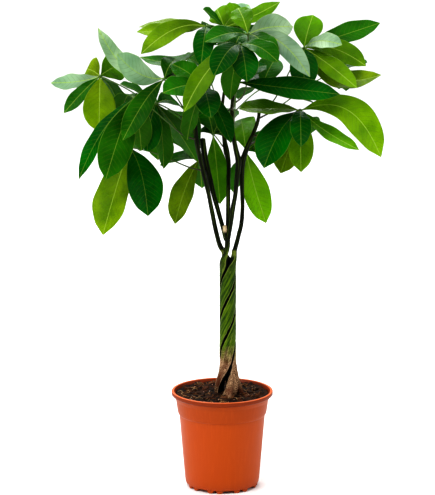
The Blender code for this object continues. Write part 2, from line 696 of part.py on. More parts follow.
# Leaves: each has the shoot and height it springs from, its hub, and its leaflets. A leaflet is the
# reading of its tip, then its width, how far it turns its upper side to the front, and its arch.
LEAVES = [
    ("left", 0.690, (100, 76, -0.02), [
        (51, 83, 0.01, 0.035, 45, -0.05),
        (64, 113, -0.05, 0.029, 45, 0.04),
        (99, 132, -0.06, 0.060, 5, 0.12),
        (122, 120, 0.05, 0.052, 10, 0.14),
        (121, 66, 0.06, 0.054, 60, 0.06),
        (87, 69, 0.05, 0.050, 60, 0.05),
    ]),
    ("left", 0.712, (164, 79, -0.09), [
        (117, 54, -0.12, 0.054, 60, -0.16),
        (98, 28, -0.04, 0.033, 40, -0.25),
        (123, 139, -0.16, 0.041, 40, 0.10),
        (184, 84, -0.03, 0.050, 30, 0.14),
        (176, 59, -0.02, 0.038, 20, 0.12),
    ]),
    ("left", 0.700, (156, 103, -0.06), [
        (147, 153, -0.09, 0.070, 5, 0.12),
        (164, 166, -0.02, 0.050, 0, 0.12),
        (197, 163, 0.00, 0.056, 10, 0.04),
        (184, 110, 0.02, 0.052, 30, 0.12),
        (140, 98, 0.05, 0.044, 20, 0.14),
    ]),
    ("left", 0.668, (134, 98, -0.13), [
        (79, 179, -0.15, 0.040, 30, 0.12),
        (106, 178, -0.16, 0.062, 60, 0.10),
        (110, 128, 0.03, 0.048, 20, 0.14),
        (142, 148, -0.05, 0.046, 0, 0.10),
    ]),
    ("back", 0.600, (130, 147, -0.04), [
        (103, 235, -0.09, 0.086, 0, 0.03),
        (148, 216, -0.10, 0.072, 0, 0.18),
        (107, 171, 0.05, 0.046, 0, 0.16),
        (112, 118, 0.06, 0.052, 20, 0.14),
        (140, 151, 0.08, 0.048, 0, 0.16),
    ]),
    ("back", 0.618, (199, 159, 0.06), [
        (175, 224, 0.02, 0.062, 0, 0.08),
        (166, 126, 0.08, 0.055, 45, 0.10),
        (184, 113, 0.12, 0.048, 40, 0.10),
        (160, 165, 0.10, 0.048, 20, 0.10),
        (202, 188, 0.12, 0.040, 0, 0.04),
    ]),
    ("middle", 0.640, (213, 134, 0.09), [
        (220, 204, 0.05, 0.046, 0, 0.03),
        (242, 142, 0.14, 0.050, 30, 0.12),
        (206, 112, 0.19, 0.050, 20, 0.12),
        (186, 146, 0.19, 0.050, 20, 0.14),
        (236, 108, 0.16, 0.046, 10, 0.12),
    ]),
    ("right", 0.622, (246, 151, 0.05), [
        (266, 223, 0.055, 0.051, 80, -0.06),
        (272, 150, 0.08, 0.050, 30, 0.08),
        (286, 138, 0.13, 0.050, 20, 0.10),
        (233, 192, 0.12, 0.036, 0, 0.03),
        (241, 119, 0.15, 0.054, 20, 0.14),
    ]),
    ("right", 0.668, (300, 110, -0.06), [
        (381, 157, -0.09, 0.063, 50, 0.34),
        (359, 150, -0.13, 0.034, 25, -0.05),
        (301, 172, -0.09, 0.047, 0, 0.06),
        (264, 168, -0.12, 0.075, 10, 0.14),
        (239, 109, -0.10, 0.056, 20, 0.02),
        (301, 147, -0.15, 0.039, 0, 0.14),
    ]),
    ("right", 0.715, (304, 48, 0.00), [
        (313, 15, 0.03, 0.056, 10, 0.08),
        (380, 23, 0.03, 0.047, 40, 0.0),
        (366, 66, -0.04, 0.045, 45, 0.14),
        (381, 75, -0.08, 0.046, 40, -0.24),
        (357, 88, -0.11, 0.038, 35, 0.03),
        (304, 90, -0.08, 0.052, 0, 0.14),
        (342, 45, -0.07, 0.035, 45, 0.12),
    ]),
    ("front", 0.742, (248, 34, -0.06), [
        (310, 77, -0.13, 0.038, 45, 0.21),
        (293, 27, -0.03, 0.054, 45, 0.08),
        (275, 62, -0.14, 0.044, 25, 0.14),
        (205, 42, -0.09, 0.050, 25, 0.10),
        (238, 8, 0.00, 0.041, 20, 0.10),
    ]),
    ("middle", 0.715, (224, 27, 0.05), [
        (280, 2, 0.07, 0.031, 45, -0.04),
        (217, 9, 0.09, 0.044, 45, 0.10),
        (243, 9, 0.11, 0.046, 45, 0.10),
        (249, 5, 0.16, 0.034, 30, 0.04),
        (303, 49, 0.10, 0.038, 30, 0.06),
        (203, 9, 0.03, 0.040, 30, 0.04),
    ]),
    ("left", 0.735, (207, 26, -0.02), [
        (139, 27, 0.03, 0.039, 15, 0.04),
        (137, 31, -0.02, 0.042, 30, -0.01),
        (141, 54, -0.06, 0.040, 50, 0.17),
        (140, 57, 0.05, 0.044, 20, -0.27),
        (201, 66, -0.11, 0.038, 10, 0.16),
        (213, 45, 0.10, 0.044, 20, 0.12),
    ]),
    ("front", 0.722, (240, 44, -0.13), [
        (184, 112, -0.16, 0.041, 50, 0.16),
        (278, 62, -0.17, 0.050, 20, 0.14),
        (247, 82, -0.20, 0.048, 0, 0.14),
        (214, 76, -0.22, 0.046, 20, 0.14),
        (230, 100, -0.10, 0.044, 0, 0.10),
    ]),
    ("front", 0.690, (237, 82, -0.09), [
        (341, 98, -0.15, 0.050, 45, 0.0),
        (288, 92, -0.02, 0.036, 10, 0.02),
        (316, 104, -0.06, 0.040, 10, 0.05),
        (262, 62, -0.02, 0.044, 20, 0.12),
    ]),
    ("left", 0.722, (203, 88, -0.09), [
        (231, 143, -0.12, 0.052, 5, 0.08),
        (187, 140, -0.06, 0.043, 0, 0.10),
        (163, 93, -0.15, 0.050, 35, 0.10),
        (172, 64, -0.06, 0.050, 25, 0.10),
        (211, 118, -0.17, 0.046, 10, 0.14),
    ]),
    ("middle", 0.690, (262, 88, 0.13), [
        (304, 96, 0.14, 0.046, 10, 0.06),
        (276, 58, 0.20, 0.048, 20, 0.10),
        (238, 99, 0.20, 0.042, 0, 0.10),
        (240, 78, 0.22, 0.052, 10, 0.14),
        (292, 92, 0.27, 0.040, 0, 0.06),
    ]),
    ("middle", 0.705, (206, 70, 0.16), [
        (170, 92, 0.22, 0.055, 20, 0.12),
        (196, 122, 0.20, 0.055, 0, 0.14),
        (196, 106, 0.26, 0.046, 0, 0.12),
        (183, 57, 0.15, 0.048, 20, 0.10),
        (205, 92, 0.31, 0.042, 0, 0.14),
    ]),
    ("back", 0.640, (158, 112, 0.16), [
        (104, 128, 0.17, 0.057, 20, 0.14),
        (132, 104, 0.24, 0.052, 20, 0.12),
        (158, 160, 0.19, 0.048, 0, 0.14),
        (180, 132, 0.26, 0.055, 0, 0.14),
        (120, 84, 0.12, 0.050, 20, 0.12),
    ]),
    ("right", 0.650, (300, 122, 0.14), [
        (284, 130, 0.20, 0.046, 20, 0.10),
        (318, 129, 0.20, 0.040, 0, 0.08),
        (301, 165, 0.17, 0.046, 0, 0.14),
        (281, 176, 0.09, 0.056, 30, 0.04),
        (310, 134, 0.26, 0.052, 0, 0.14),
    ]),
    ("front", 0.735, (232, 56, 0.10), [
        (203, 40, 0.06, 0.050, 20, 0.14),
        (262, 46, 0.08, 0.050, 20, 0.14),
        (246, 30, 0.17, 0.050, 10, 0.14),
        (214, 36, 0.20, 0.050, 10, 0.14),
        (240, 66, 0.01, 0.050, 10, 0.14),
    ]),
    ("right", 0.700, (334, 72, 0.10), [
        (346, 91, 0.12, 0.036, 0, 0.04),
        (339, 89, 0.16, 0.030, 0, 0.02),
        (366, 60, 0.17, 0.040, 20, 0.06),
        (308, 72, 0.20, 0.052, 20, 0.12),
        (302, 60, 0.20, 0.046, 0, 0.10),
    ]),
]


def blade_frame(base, tip, face):
    """The chord, the blade's side and its upper normal. The side points away from the front."""
    chord = tip - base
    along = chord.normalized()
    outward = Vector((along.x, along.y, 0.0))
    if outward.length < BLADE_LEAST_RUN:
        outward = Vector((0.0, -1.0, 0.0))
    lift = Vector((0.0, 0.0, 1.0)) + outward.normalized() * BLADE_LEAN
    normal = (lift - along * lift.dot(along)).normalized()
    side = along.cross(normal)
    if side.y < 0:
        side = -side
    turn = math.radians(face)
    across = side * math.cos(turn) + normal * math.sin(turn)
    return chord, across, normal * math.cos(turn) - side * math.sin(turn)


def blade_half_width(share, width):
    """Narrow at the foot, widest past the middle, pointed at the tip."""
    rise, fall = BLADE_SWELL
    widest = rise / (rise + fall)
    full = (share / widest) ** rise * ((1 - share) / (1 - widest)) ** fall * width / 2
    least = BLADE_BASE_HALF + (BLADE_TIP_HALF - BLADE_BASE_HALF) * share
    return max(full, least)


def blade_rows(base, tip, width, face, arch, stations, lanes):
    """Rows of (place, normal) across the blade, from foot to tip."""
    chord, side, upper = blade_frame(base, tip, face)
    rise = chord.length * arch
    bulge = (Vector((0, 0, 1)) - chord.normalized() * chord.normalized().z) * ARCH_UP + upper * (1 - ARCH_UP)
    rows = []
    for share in stations:
        hump = 4 * share * (1 - share) * (ARCH_PEAK - ARCH_EARLY * share)
        slope = 4 * (ARCH_PEAK - 2 * (ARCH_PEAK + ARCH_EARLY) * share + 3 * ARCH_EARLY * share**2)
        middle = base + chord * share + bulge * rise * hump
        tangent = (chord + bulge * rise * slope).normalized()
        up = (upper - tangent * upper.dot(tangent)).normalized()
        across = up.cross(tangent).normalized()
        if across.dot(side) < 0:
            across = -across
        half = blade_half_width(share, width)
        row = []
        for lane in range(lanes + 1):
            shift = 2 * lane / lanes - 1
            lean = up - across * (BLADE_FOLD * (1 if shift > 0 else -1) if shift else 0.0)
            place = middle + across * half * shift + up * half * BLADE_FOLD * abs(shift)
            row.append((place, lean.normalized()))
        rows.append(row)
    return rows


def shell(rows, thickness):
    """A closed blade: both faces are split alike."""
    lanes = len(rows[0]) - 1
    vertices = []
    for side in (0.5, -0.5):
        for row in rows:
            vertices += [place + normal * thickness * side for place, normal in row]
    wide = lanes + 1
    under = len(rows) * wide
    faces = []
    for i in range(len(rows) - 1):
        for j in range(lanes):
            a = i * wide + j
            b = a + 1
            c = a + wide + 1
            d = a + wide
            split = [(a, b, c), (a, c, d)] if j < lanes / 2 else [(a, b, d), (b, c, d)]
            faces += split
            faces += [tuple(under + k for k in reversed(face)) for face in split]
    last = (len(rows) - 1) * wide
    rim = [i * wide for i in range(len(rows))]
    rim += [last + j for j in range(1, wide)]
    rim += [i * wide + lanes for i in range(len(rows) - 2, -1, -1)]
    rim += [j for j in range(lanes - 1, 0, -1)]
    for here, after in zip(rim, rim[1:] + rim[:1]):
        faces += [(here, after, under + after), (here, under + after, under + here)]
    return vertices, faces


def stem_spot(name, height):
    """The shoot's centre, radius and direction at this height."""
    strand = {"left": 0, "middle": 1, "right": 2}.get(name)
    route, girths = side_route(name) if strand is None else strand_route(strand)
    for index in range(len(route) - 1):
        low, high = route[index], route[index + 1]
        if low.z <= height <= high.z:
            share = (height - low.z) / (high.z - low.z)
            girth = girths[index] + (girths[index + 1] - girths[index]) * share
            return low.lerp(high, share), girth, (high - low).normalized()
    return route[-1], girths[-1], (route[-1] - route[-2]).normalized()


def petiole_route(name, height, hub, sway=0.0):
    """Out of the shoot nearly level, then up in an arc to the hub."""
    centre, girth, ahead = stem_spot(name, height)
    out = Vector((hub.x - centre.x, hub.y - centre.y, 0.0)).normalized()
    out = (out - ahead * out.dot(ahead)).normalized()
    heel = centre + out * (girth + PETIOLE_GAP)
    start = heel + out * PETIOLE_HEEL
    span = (hub - start).length
    flat = Vector((-out.y, out.x, 0.0))
    first = start + out * span * PETIOLE_LEAVE[0] + Vector((0, 0, span * PETIOLE_LEAVE[1])) + flat * sway
    second = start.lerp(hub, PETIOLE_ARRIVE[0]) + Vector((0, 0, span * PETIOLE_ARRIVE[1])) + flat * sway
    route = [heel]
    for step in range(PETIOLE_SPANS + 1):
        t = step / PETIOLE_SPANS
        s = 1 - t
        route.append(start * s**3 + first * 3 * s * s * t + second * 3 * s * t * t + hub * t**3)
    radii = [PETIOLE_STEM_RADIUS]
    for step in range(PETIOLE_SPANS + 1):
        taper = min(1, step / PETIOLE_SPANS * PETIOLE_TAPER)
        radii.append(PETIOLE_STEM_RADIUS + (PETIOLE_HUB_RADIUS - PETIOLE_STEM_RADIUS) * taper)
    return route, radii


def ring_shell(route, radii, sides=PETIOLE_RING):
    """A light tube for measuring clearance only."""
    vertices = []
    faces = []
    for index, (point, radius) in enumerate(zip(route, radii)):
        ahead = route[min(index + 1, len(route) - 1)] - route[max(index - 1, 0)]
        first = ahead.orthogonal().normalized()
        second = ahead.normalized().cross(first)
        for k in range(sides):
            angle = math.tau * k / sides
            vertices.append(point + (first * math.cos(angle) + second * math.sin(angle)) * radius)
    for index in range(len(route) - 1):
        for k in range(sides):
            a = index * sides + k
            b = index * sides + (k + 1) % sides
            faces += [(a, b, b + sides), (a, b + sides, a + sides)]
    return vertices, faces


class Placed:
    """A solid that is already in place, for measuring clearance."""

    def __init__(self, owner, vertices, faces):
        self.owner = owner
        self.tree = BVHTree.FromPolygons([tuple(v) for v in vertices], faces)
        self.low = [min(v[axis] for v in vertices) for axis in range(3)]
        self.high = [max(v[axis] for v in vertices) for axis in range(3)]
        self.points = vertices

    def near(self, other, gap):
        for axis in range(3):
            if self.low[axis] > other.high[axis] + gap or other.low[axis] > self.high[axis] + gap:
                return False
        if self.tree.overlap(other.tree):
            return True
        for one, two in ((self, other), (other, self)):
            for point in one.points:
                if two.tree.find_nearest(point, gap)[0] is not None:
                    return True
        return False


def stem_solids():
    solids = []
    for strand in range(3):
        solids.append(Placed("stem", *ring_shell(*strand_route(strand), SHOOT_RING)))
    for name in ("back", "front"):
        solids.append(Placed("stem", *ring_shell(*side_route(name), SHOOT_RING)))
    return solids


def nudges():
    """Small changes to a leaflet, the least noticeable from the front first."""
    found = []
    kinds = (NUDGE_DEPTH, NUDGE_ACROSS, NUDGE_UP, NUDGE_TURN)
    for counts in itertools.product(*(range(-kind[0], kind[0] + 1) for kind in kinds)):
        cost = sum(abs(count) * kind[2] for count, kind in zip(counts, kinds))
        found.append((cost, [count * kind[1] for count, kind in zip(counts, kinds)]))
    return [changes for _, changes in sorted(found, key=lambda change: change[0])]


def clear_petiole(index, shoot, height, hub, placed):
    """The first try that touches neither a shoot nor another petiole."""
    for drop, sway in PETIOLE_TRIES:
        route, radii = petiole_route(shoot, height + drop, hub, sway)
        whole = Placed(index, *ring_shell(route, radii))
        beyond_heel = Placed(index, *ring_shell(route[1:], radii[1:]))
        others = [other for other in placed if other.owner != "stem"]
        if any(beyond_heel.near(other, CLEAR) for other in placed):
            continue
        if any(whole.near(other, PETIOLE_GAP / 2) for other in others):
            continue
        break
    return route, radii, whole


def clear_leaflet(index, hub, leaflet, changes, placed, siblings):
    """The leaflet with the least change that touches nothing, or None."""
    across, down, depth, width, face, arch = leaflet
    for deep, sideways, up, turn in changes:
        tip = seen(across, down, depth) + Vector((sideways, deep, up))
        base = hub + (tip - hub).normalized() * LEAFLET_START
        rows = blade_rows(base, tip, width, face + turn, arch, BLADE_STATIONS, BLADE_LANES)
        whole = Placed(index, *shell(rows, BLADE_THICKNESS))
        outer = Placed(index, *shell(rows[2:], BLADE_THICKNESS))
        if any(outer.near(other, CLEAR) for other in siblings):
            continue
        if any(whole.near(other, CLEAR) for other in placed if other.owner != index):
            continue
        placed.append(whole)
        siblings.append(outer)
        return base, tip, width, face + turn, arch
    return None


def plan_leaves():
    """Every leaf's petiole and leaflets, bent clear of what stands before them in the list."""
    placed = stem_solids()
    petioles = []
    for index, (shoot, height, hub_reading, _) in enumerate(LEAVES):
        route, radii, solid = clear_petiole(index, shoot, height, seen(*hub_reading), placed)
        placed.append(solid)
        petioles.append((route, radii))
    changes = nudges()
    plan = []
    for index, (_, _, hub_reading, leaflets) in enumerate(LEAVES):
        hub = seen(*hub_reading)
        siblings = []
        blades = [clear_leaflet(index, hub, leaflet, changes, placed, siblings) for leaflet in leaflets]
        plan.append((hub, *petioles[index], blades))
    return plan


def make_leaf(number, hub, route, radii, blades, collection):
    leaf = tube(f"leaf_{number:02d}", route, radii, collection)
    knob = solid_object("knob", collection, bmesh.ops.create_icosphere, subdivisions=1, radius=HUB_RADIUS)
    knob.location = hub
    pieces = [knob]
    for blade in blades:
        rows = blade_rows(*blade, BLADE_STATIONS, BLADE_LANES)
        vertices, faces = shell(rows, BLADE_THICKNESS)
        leaflet = mesh_object("leaflet", vertices, [], faces, collection)
        weld(leaflet.data)
        pieces.append(leaflet)
    bpy.context.view_layer.update()
    union(leaf, pieces)
    return leaf


def centre_all(collections):
    """Moves everything level, so that the plant's bounding box is centred over the origin."""
    corners = []
    for obj in collections[0].objects:
        corners += [obj.matrix_world @ vertex.co for vertex in obj.data.vertices]
    x = (min(corner.x for corner in corners) + max(corner.x for corner in corners)) / 2
    y = (min(corner.y for corner in corners) + max(corner.y for corner in corners)) / 2
    for collection in collections:
        for obj in collection.objects:
            obj.location.x -= x
            obj.location.y -= y


def main():
    clear_scene()
    collection = make_collection(OBJECT_NAME)
    cutters = make_collection("cutters")
    plastic = make_material("terracotta_plastic", (0.55, 0.065, 0.006), 0.38)
    earth = make_material("soil_and_bark", (0.020, 0.012, 0.008), 0.95)
    bark = make_material("green_bark", (0.045, 0.060, 0.012), 0.60)
    foliage = make_material("leaf_green", (0.055, 0.180, 0.006), 0.35)
    pot = make_pot(collection, cutters)
    give_material(pot, plastic)
    shade(pot, POT_CREASE)
    soil = make_soil(collection)
    give_material(soil, earth)
    cut(soil, soil_holes(cutters))
    for trunk in make_trunk(collection):
        give_material(trunk, bark)
        shade(trunk, TRUNK_CREASE)
    for number, (hub, route, radii, blades) in enumerate(plan_leaves(), 1):
        leaf = make_leaf(number, hub, route, radii, blades, collection)
        give_material(leaf, foliage)
        shade(leaf, LEAF_CREASE)
    centre_all([collection, cutters])


main()
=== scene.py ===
"""Potted money tree dressed for the picture: foliage, bark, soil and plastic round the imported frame.

Metres, +Z up, the front of the plant faces -Y. Everything is made with the pot's axis on Z and is then
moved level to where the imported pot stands.
"""

import itertools
import math
import random

import bmesh
import bpy
from mathutils import Matrix, Vector, noise
from mathutils.kdtree import KDTree


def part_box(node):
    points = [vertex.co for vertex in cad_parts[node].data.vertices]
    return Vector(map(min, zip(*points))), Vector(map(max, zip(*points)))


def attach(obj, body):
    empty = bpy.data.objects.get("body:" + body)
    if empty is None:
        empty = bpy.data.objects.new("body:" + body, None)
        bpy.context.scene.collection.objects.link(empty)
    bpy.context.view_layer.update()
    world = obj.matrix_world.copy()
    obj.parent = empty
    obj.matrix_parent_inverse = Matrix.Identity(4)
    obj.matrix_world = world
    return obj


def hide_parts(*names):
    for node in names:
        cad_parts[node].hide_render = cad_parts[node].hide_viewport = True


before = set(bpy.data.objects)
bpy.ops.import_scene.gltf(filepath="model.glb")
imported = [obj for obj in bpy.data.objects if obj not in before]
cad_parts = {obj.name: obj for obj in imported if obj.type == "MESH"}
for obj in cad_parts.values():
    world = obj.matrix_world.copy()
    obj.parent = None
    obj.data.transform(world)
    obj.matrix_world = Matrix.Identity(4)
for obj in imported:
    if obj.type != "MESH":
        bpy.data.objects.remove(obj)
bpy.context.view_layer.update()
pot_low, pot_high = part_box("pot")
SHIFT = Vector(((pot_low.x + pot_high.x) / 2, (pot_low.y + pot_high.y) / 2, 0.0))

SEED = 11
noise.seed_set(SEED)

# Front view: how a place read off the front view becomes a place in space. Readings run from the view's
# top left corner, and one step of them is one VIEW_FOCAL-th of the distance along the line of sight.
VIEW_DISTANCE = 5.0
VIEW_SIDE = -0.0088
VIEW_HEIGHT = 1.5149
VIEW_TILT = math.radians(11.95)
VIEW_FOCAL = 2755.0
VIEW_CENTRE = (217.5, 247.5)

# Pot
POT_HEIGHT = 0.1835
LIP_RADIUS = 0.095
LIP_ROUND = 0.0011
LIP_SKIRT = 0.0070
BASE_RADIUS = 0.0700
BASE_UNDERSIDE = 0.0052
BASE_ROUND = 0.0036
BASE_CORNER = 0.0032
FLOOR_TOP = 0.0080
LIP_DEPTH = 0.0098
RIM_INNER_RADIUS = 0.0904
NECK_RADIUS = 0.0874
NECK_DEPTH = 0.0050
LEDGE_HEIGHT = 0.1385
WALL_THICKNESS = 0.0020
FOOT_PAIRS = 8
FOOT_PAIR_START = math.radians(-57)
FOOT_HALF_SPREAD = math.radians(8)
FOOT_RADIUS = 0.0065
FOOT_SIDES = 10
FOOT_INNER = 0.0560
FOOT_OUTER = 0.0664
FOOT_TOP = 0.0068
DRAIN_RADIUS = 0.0050
DRAIN_PLACE = 0.0540
DRAIN_DEPTH = 0.020

# Soil
SOIL_TOP = 0.1787
SOIL_RADIUS = 0.0865
SOIL_WALL_GAP = 0.0006
SOIL_RELIEF = 0.0018

# Waves of the surface: how fast each turns along X and along Y, its phase and its share of the relief
SOIL_WAVES = ((170, 140, 0.7, 0.5), (170, -140, 1.9, 0.5), (410, -260, 2.1, 0.45))
CHIP_COUNT = 14
CHIP_PLACES = (0.036, 0.072)
CHIP_LENGTHS = (0.010, 0.017)
CHIP_WIDTHS = (0.006, 0.009)
CHIP_HEIGHT = 0.008
CHIP_SINK = 0.0015
CHIP_TILT = 0.3
GOLDEN_ANGLE = 2.39996

# Trunk: three strands twisted together round one upright line
TRUNK_X = 0.0104
TRUNK_Y = 0.003
TWIST_PITCH = 0.194
TWIST_FRONT_HEIGHT = 0.3281
TWIST_EASE_HEIGHT = 0.2704
TWIST_EASE = 0.70
STRAND_FOOT = 0.1530
TWIST_TOP = 0.4475
TWIST_RADIUS = 0.0090
TRUNK_RADIUS = 0.0155
STRAND_RADIUS = 0.0070
STRAND_GAP = 0.0006
STRAND_EDGE = 5
STRAND_SPANS = 17
FINE_SIDES = 36
FINE_SPANS = 134
CREVICE_DEEP = 0.92
FLARE_TOP = 0.2435
FLARE_FOOT = 0.1835
FLARE_TWIST_RADIUS = 0.0162
FLARE_STRAND_RADII = (0.0100, 0.0088, 0.0130)
TAPER_FOOT = 0.4150
TOP_SPREAD = 0.0030
SHOOT_RADIUS = 0.0048

# Leaves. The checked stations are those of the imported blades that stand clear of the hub.
BLADE_THICKNESS = 0.0009
CHECKED_STATIONS = (0.52, 0.80, 1.0)
BLADE_SWELL = (1.15, 0.78)
BLADE_FOLD = 0.14
BLADE_BASE_HALF = 0.0013
BLADE_TIP_HALF = 0.0006

# How far a blade's upper side leans outward, and the least outward run that tells which way that is
BLADE_LEAN = 0.35
BLADE_LEAST_RUN = 0.05

# An arch rises partly straight up and partly along the blade's normal, and sooner than halfway
ARCH_UP = 0.7
ARCH_PEAK = 1.25
ARCH_EARLY = 0.5
LEAFLET_START = 0.0018
HUB_RADIUS = 0.0038
PETIOLE_HUB_RADIUS = 0.0014
PETIOLE_STEM_RADIUS = 0.0021
PETIOLE_GAP = 0.0004
PETIOLE_HEEL = 0.0025
PETIOLE_SPANS = 4

# The two guide points of a petiole's arc: how far along it each is, and how high above its chord
PETIOLE_LEAVE = (0.20, 0.05)
PETIOLE_ARRIVE = (0.62, 0.07)
PETIOLE_TAPER = 2.5

# Where a packed petiole may start and bend instead of in its own place: drop and sway
PETIOLE_TRIES = (
    (0.0, 0.0), (0.0, 0.010), (0.0, -0.010), (-0.008, 0.0), (0.008, 0.0), (-0.008, 0.015),
    (-0.016, -0.015), (0.016, 0.0), (-0.024, 0.0), (-0.030, 0.020), (-0.030, -0.020),
)

# Where a packed leaflet may be instead: steps, length of each and how much each
# counts, for its depth, its place across and up, and its turn
NUDGES = ((3, 0.014, 0.55), (2, 0.008, 1.0), (2, 0.008, 1.0), (1, 18, 0.7))


def seen(across, down, depth):
    """The place in space of a front-view reading at this depth."""
    ahead = Vector((0.0, math.cos(VIEW_TILT), -math.sin(VIEW_TILT)))
    above = Vector((0.0, math.sin(VIEW_TILT), math.cos(VIEW_TILT)))
    right = Vector((1.0, 0.0, 0.0))
    sight = ahead * VIEW_FOCAL + right * (across - VIEW_CENTRE[0]) + above * (VIEW_CENTRE[1] - down)
    return Vector((VIEW_SIDE, -VIEW_DISTANCE, VIEW_HEIGHT)) + sight * (VIEW_DISTANCE + depth) / sight.y


def smooth_step(value, start, end):
    share = min(1.0, max(0.0, (value - start) / (end - start)))
    return share * share * (3 - 2 * share)


def wall_outline():
    """The wall's outer side under the lip, from the underside of the lip to the foot of the wall."""
    return [
        (0.0866, POT_HEIGHT - 0.0180), (0.0851, POT_HEIGHT - 0.0290), (0.0835, LEDGE_HEIGHT + 0.0055),
        (0.0823, LEDGE_HEIGHT + 0.0015), (0.0805, LEDGE_HEIGHT), (0.0801, LEDGE_HEIGHT - 0.0030),
        (0.0745, POT_HEIGHT - 0.1160), (BASE_RADIUS, BASE_UNDERSIDE + 0.0110),
    ]


def wall_bends():
    """The points of the outer side that the inner side and the soil follow too, from the top down."""
    under_lip, _, step, _, ledge, _, foot, _ = wall_outline()
    return under_lip, step, ledge, foot


def pot_profile():
    """The wall's section, from the floor's centre up the inside, over the lip and down the outside."""
    top = POT_HEIGHT
    inside = [
        (0.0, FLOOR_TOP), (BASE_RADIUS - BASE_CORNER - 0.0030, FLOOR_TOP),
        (BASE_RADIUS - BASE_CORNER, FLOOR_TOP + BASE_CORNER),
    ]
    for radius, height in reversed(wall_bends()):
        inside.append((radius - WALL_THICKNESS, height))
    inside += [(NECK_RADIUS, top - NECK_DEPTH), (RIM_INNER_RADIUS, top)]
    lip = [
        (LIP_RADIUS - LIP_ROUND, top), (LIP_RADIUS, top - LIP_ROUND), (LIP_RADIUS, top - LIP_SKIRT),
        (RIM_INNER_RADIUS, top - LIP_DEPTH),
    ]
    base = [
        (BASE_RADIUS - BASE_ROUND / 3, BASE_UNDERSIDE + BASE_ROUND * 2 / 3),
        (BASE_RADIUS - BASE_ROUND, BASE_UNDERSIDE), (0.0, BASE_UNDERSIDE),
    ]
    return inside + lip + wall_outline() + base


def soil_relief(x, y):
    waves = [math.sin(x * fast + y * aside + phase) * share for fast, aside, phase, share in SOIL_WAVES]
    return SOIL_RELIEF * sum(waves)


def soil_profile():
    """The fill's section, from the edge of its top down its outer side to the pot's floor."""
    gap = SOIL_WALL_GAP
    side = [(radius - WALL_THICKNESS - gap, height) for radius, height in wall_bends()]
    return [
        (SOIL_RADIUS, SOIL_TOP - gap),
        *side,
        (BASE_RADIUS - BASE_CORNER - gap, FLOOR_TOP + BASE_CORNER + gap / 2),
        (BASE_RADIUS - 2 * BASE_CORNER, FLOOR_TOP + gap),
    ]


def twist_angle(strand, height):
    """The first strand crosses the front at TWIST_FRONT_HEIGHT. The twist is slacker near the soil."""
    lead = (0.0, math.tau / 3, -math.tau / 3)[strand]
    slack = min(0.0, height - TWIST_EASE_HEIGHT) * (1 - TWIST_EASE)
    return -math.pi / 2 + math.tau * (height - slack - TWIST_FRONT_HEIGHT) / TWIST_PITCH + lead


def twist_place(strand, height):
    flare = 1 - smooth_step(height, FLARE_FOOT, FLARE_TOP)
    spread = TOP_SPREAD * smooth_step(height, TAPER_FOOT, TWIST_TOP)
    radius = TWIST_RADIUS + (FLARE_TWIST_RADIUS - TWIST_RADIUS) * flare + spread
    angle = twist_angle(strand, height)
    x = TRUNK_X + radius * math.cos(angle)
    y = TRUNK_Y + radius * math.sin(angle)
    return Vector((x, y, height))


def twist_girth(strand, height):
    """A strand's radius where it is round, and how far its neighbours press it into a third of a round."""
    flare = 1 - smooth_step(height, FLARE_FOOT, FLARE_TOP)
    taper = smooth_step(height, TAPER_FOOT, TWIST_TOP)
    girth = STRAND_RADIUS + (FLARE_STRAND_RADII[strand] - STRAND_RADIUS) * flare
    return girth + (SHOOT_RADIUS - girth) * taper, (1 - flare) * (1 - taper)


def third_reach(out, turn):
    """How far a third of the trunk's round reaches from a centre this far out, in one direction."""
    rim = TRUNK_RADIUS - TWIST_RADIUS + out
    reaches = [math.sqrt(rim**2 - (out * math.sin(turn)) ** 2) - out * math.cos(turn)]
    for side in (1, -1):
        closing = side * math.sin(turn) - math.sqrt(3) * math.cos(turn)
        if closing > 0:
            reaches.append((math.sqrt(3) * out - STRAND_GAP) / closing)
    return sum(reach**-STRAND_EDGE for reach in reaches) ** (-1 / STRAND_EDGE)


def twist_ring(strand, height, sides):
    """A level section of a strand."""
    centre = twist_place(strand, height)
    heading = twist_angle(strand, height)
    out = math.hypot(centre.x - TRUNK_X, centre.y - TRUNK_Y)
    girth, pressed = twist_girth(strand, height)
    ring = []
    for k in range(sides):
        turn = math.tau * k / sides
        reach = girth + (third_reach(out, turn) - girth) * pressed
        ring.append(centre + Vector((math.cos(heading + turn), math.sin(heading + turn), 0.0)) * reach)
    return ring


def twist_heights(spans):
    return [STRAND_FOOT + (TWIST_TOP - STRAND_FOOT) * i / spans for i in range(spans + 1)]


def rings_along(route, girths, sides, first=None):
    """Round rings across the route, which turn as little as can be."""
    turns = [math.tau * k / sides for k in range(sides)]
    rings = []
    for index, (point, girth) in enumerate(zip(route, girths)):
        ahead = (route[min(index + 1, len(route) - 1)] - route[max(index - 1, 0)]).normalized()
        first = ahead.orthogonal() if first is None else first - ahead * first.dot(ahead)
        first = first.normalized()
        second = ahead.cross(first)
        rings.append([point + (first * math.cos(turn) + second * math.sin(turn)) * girth for turn in turns])
    return rings


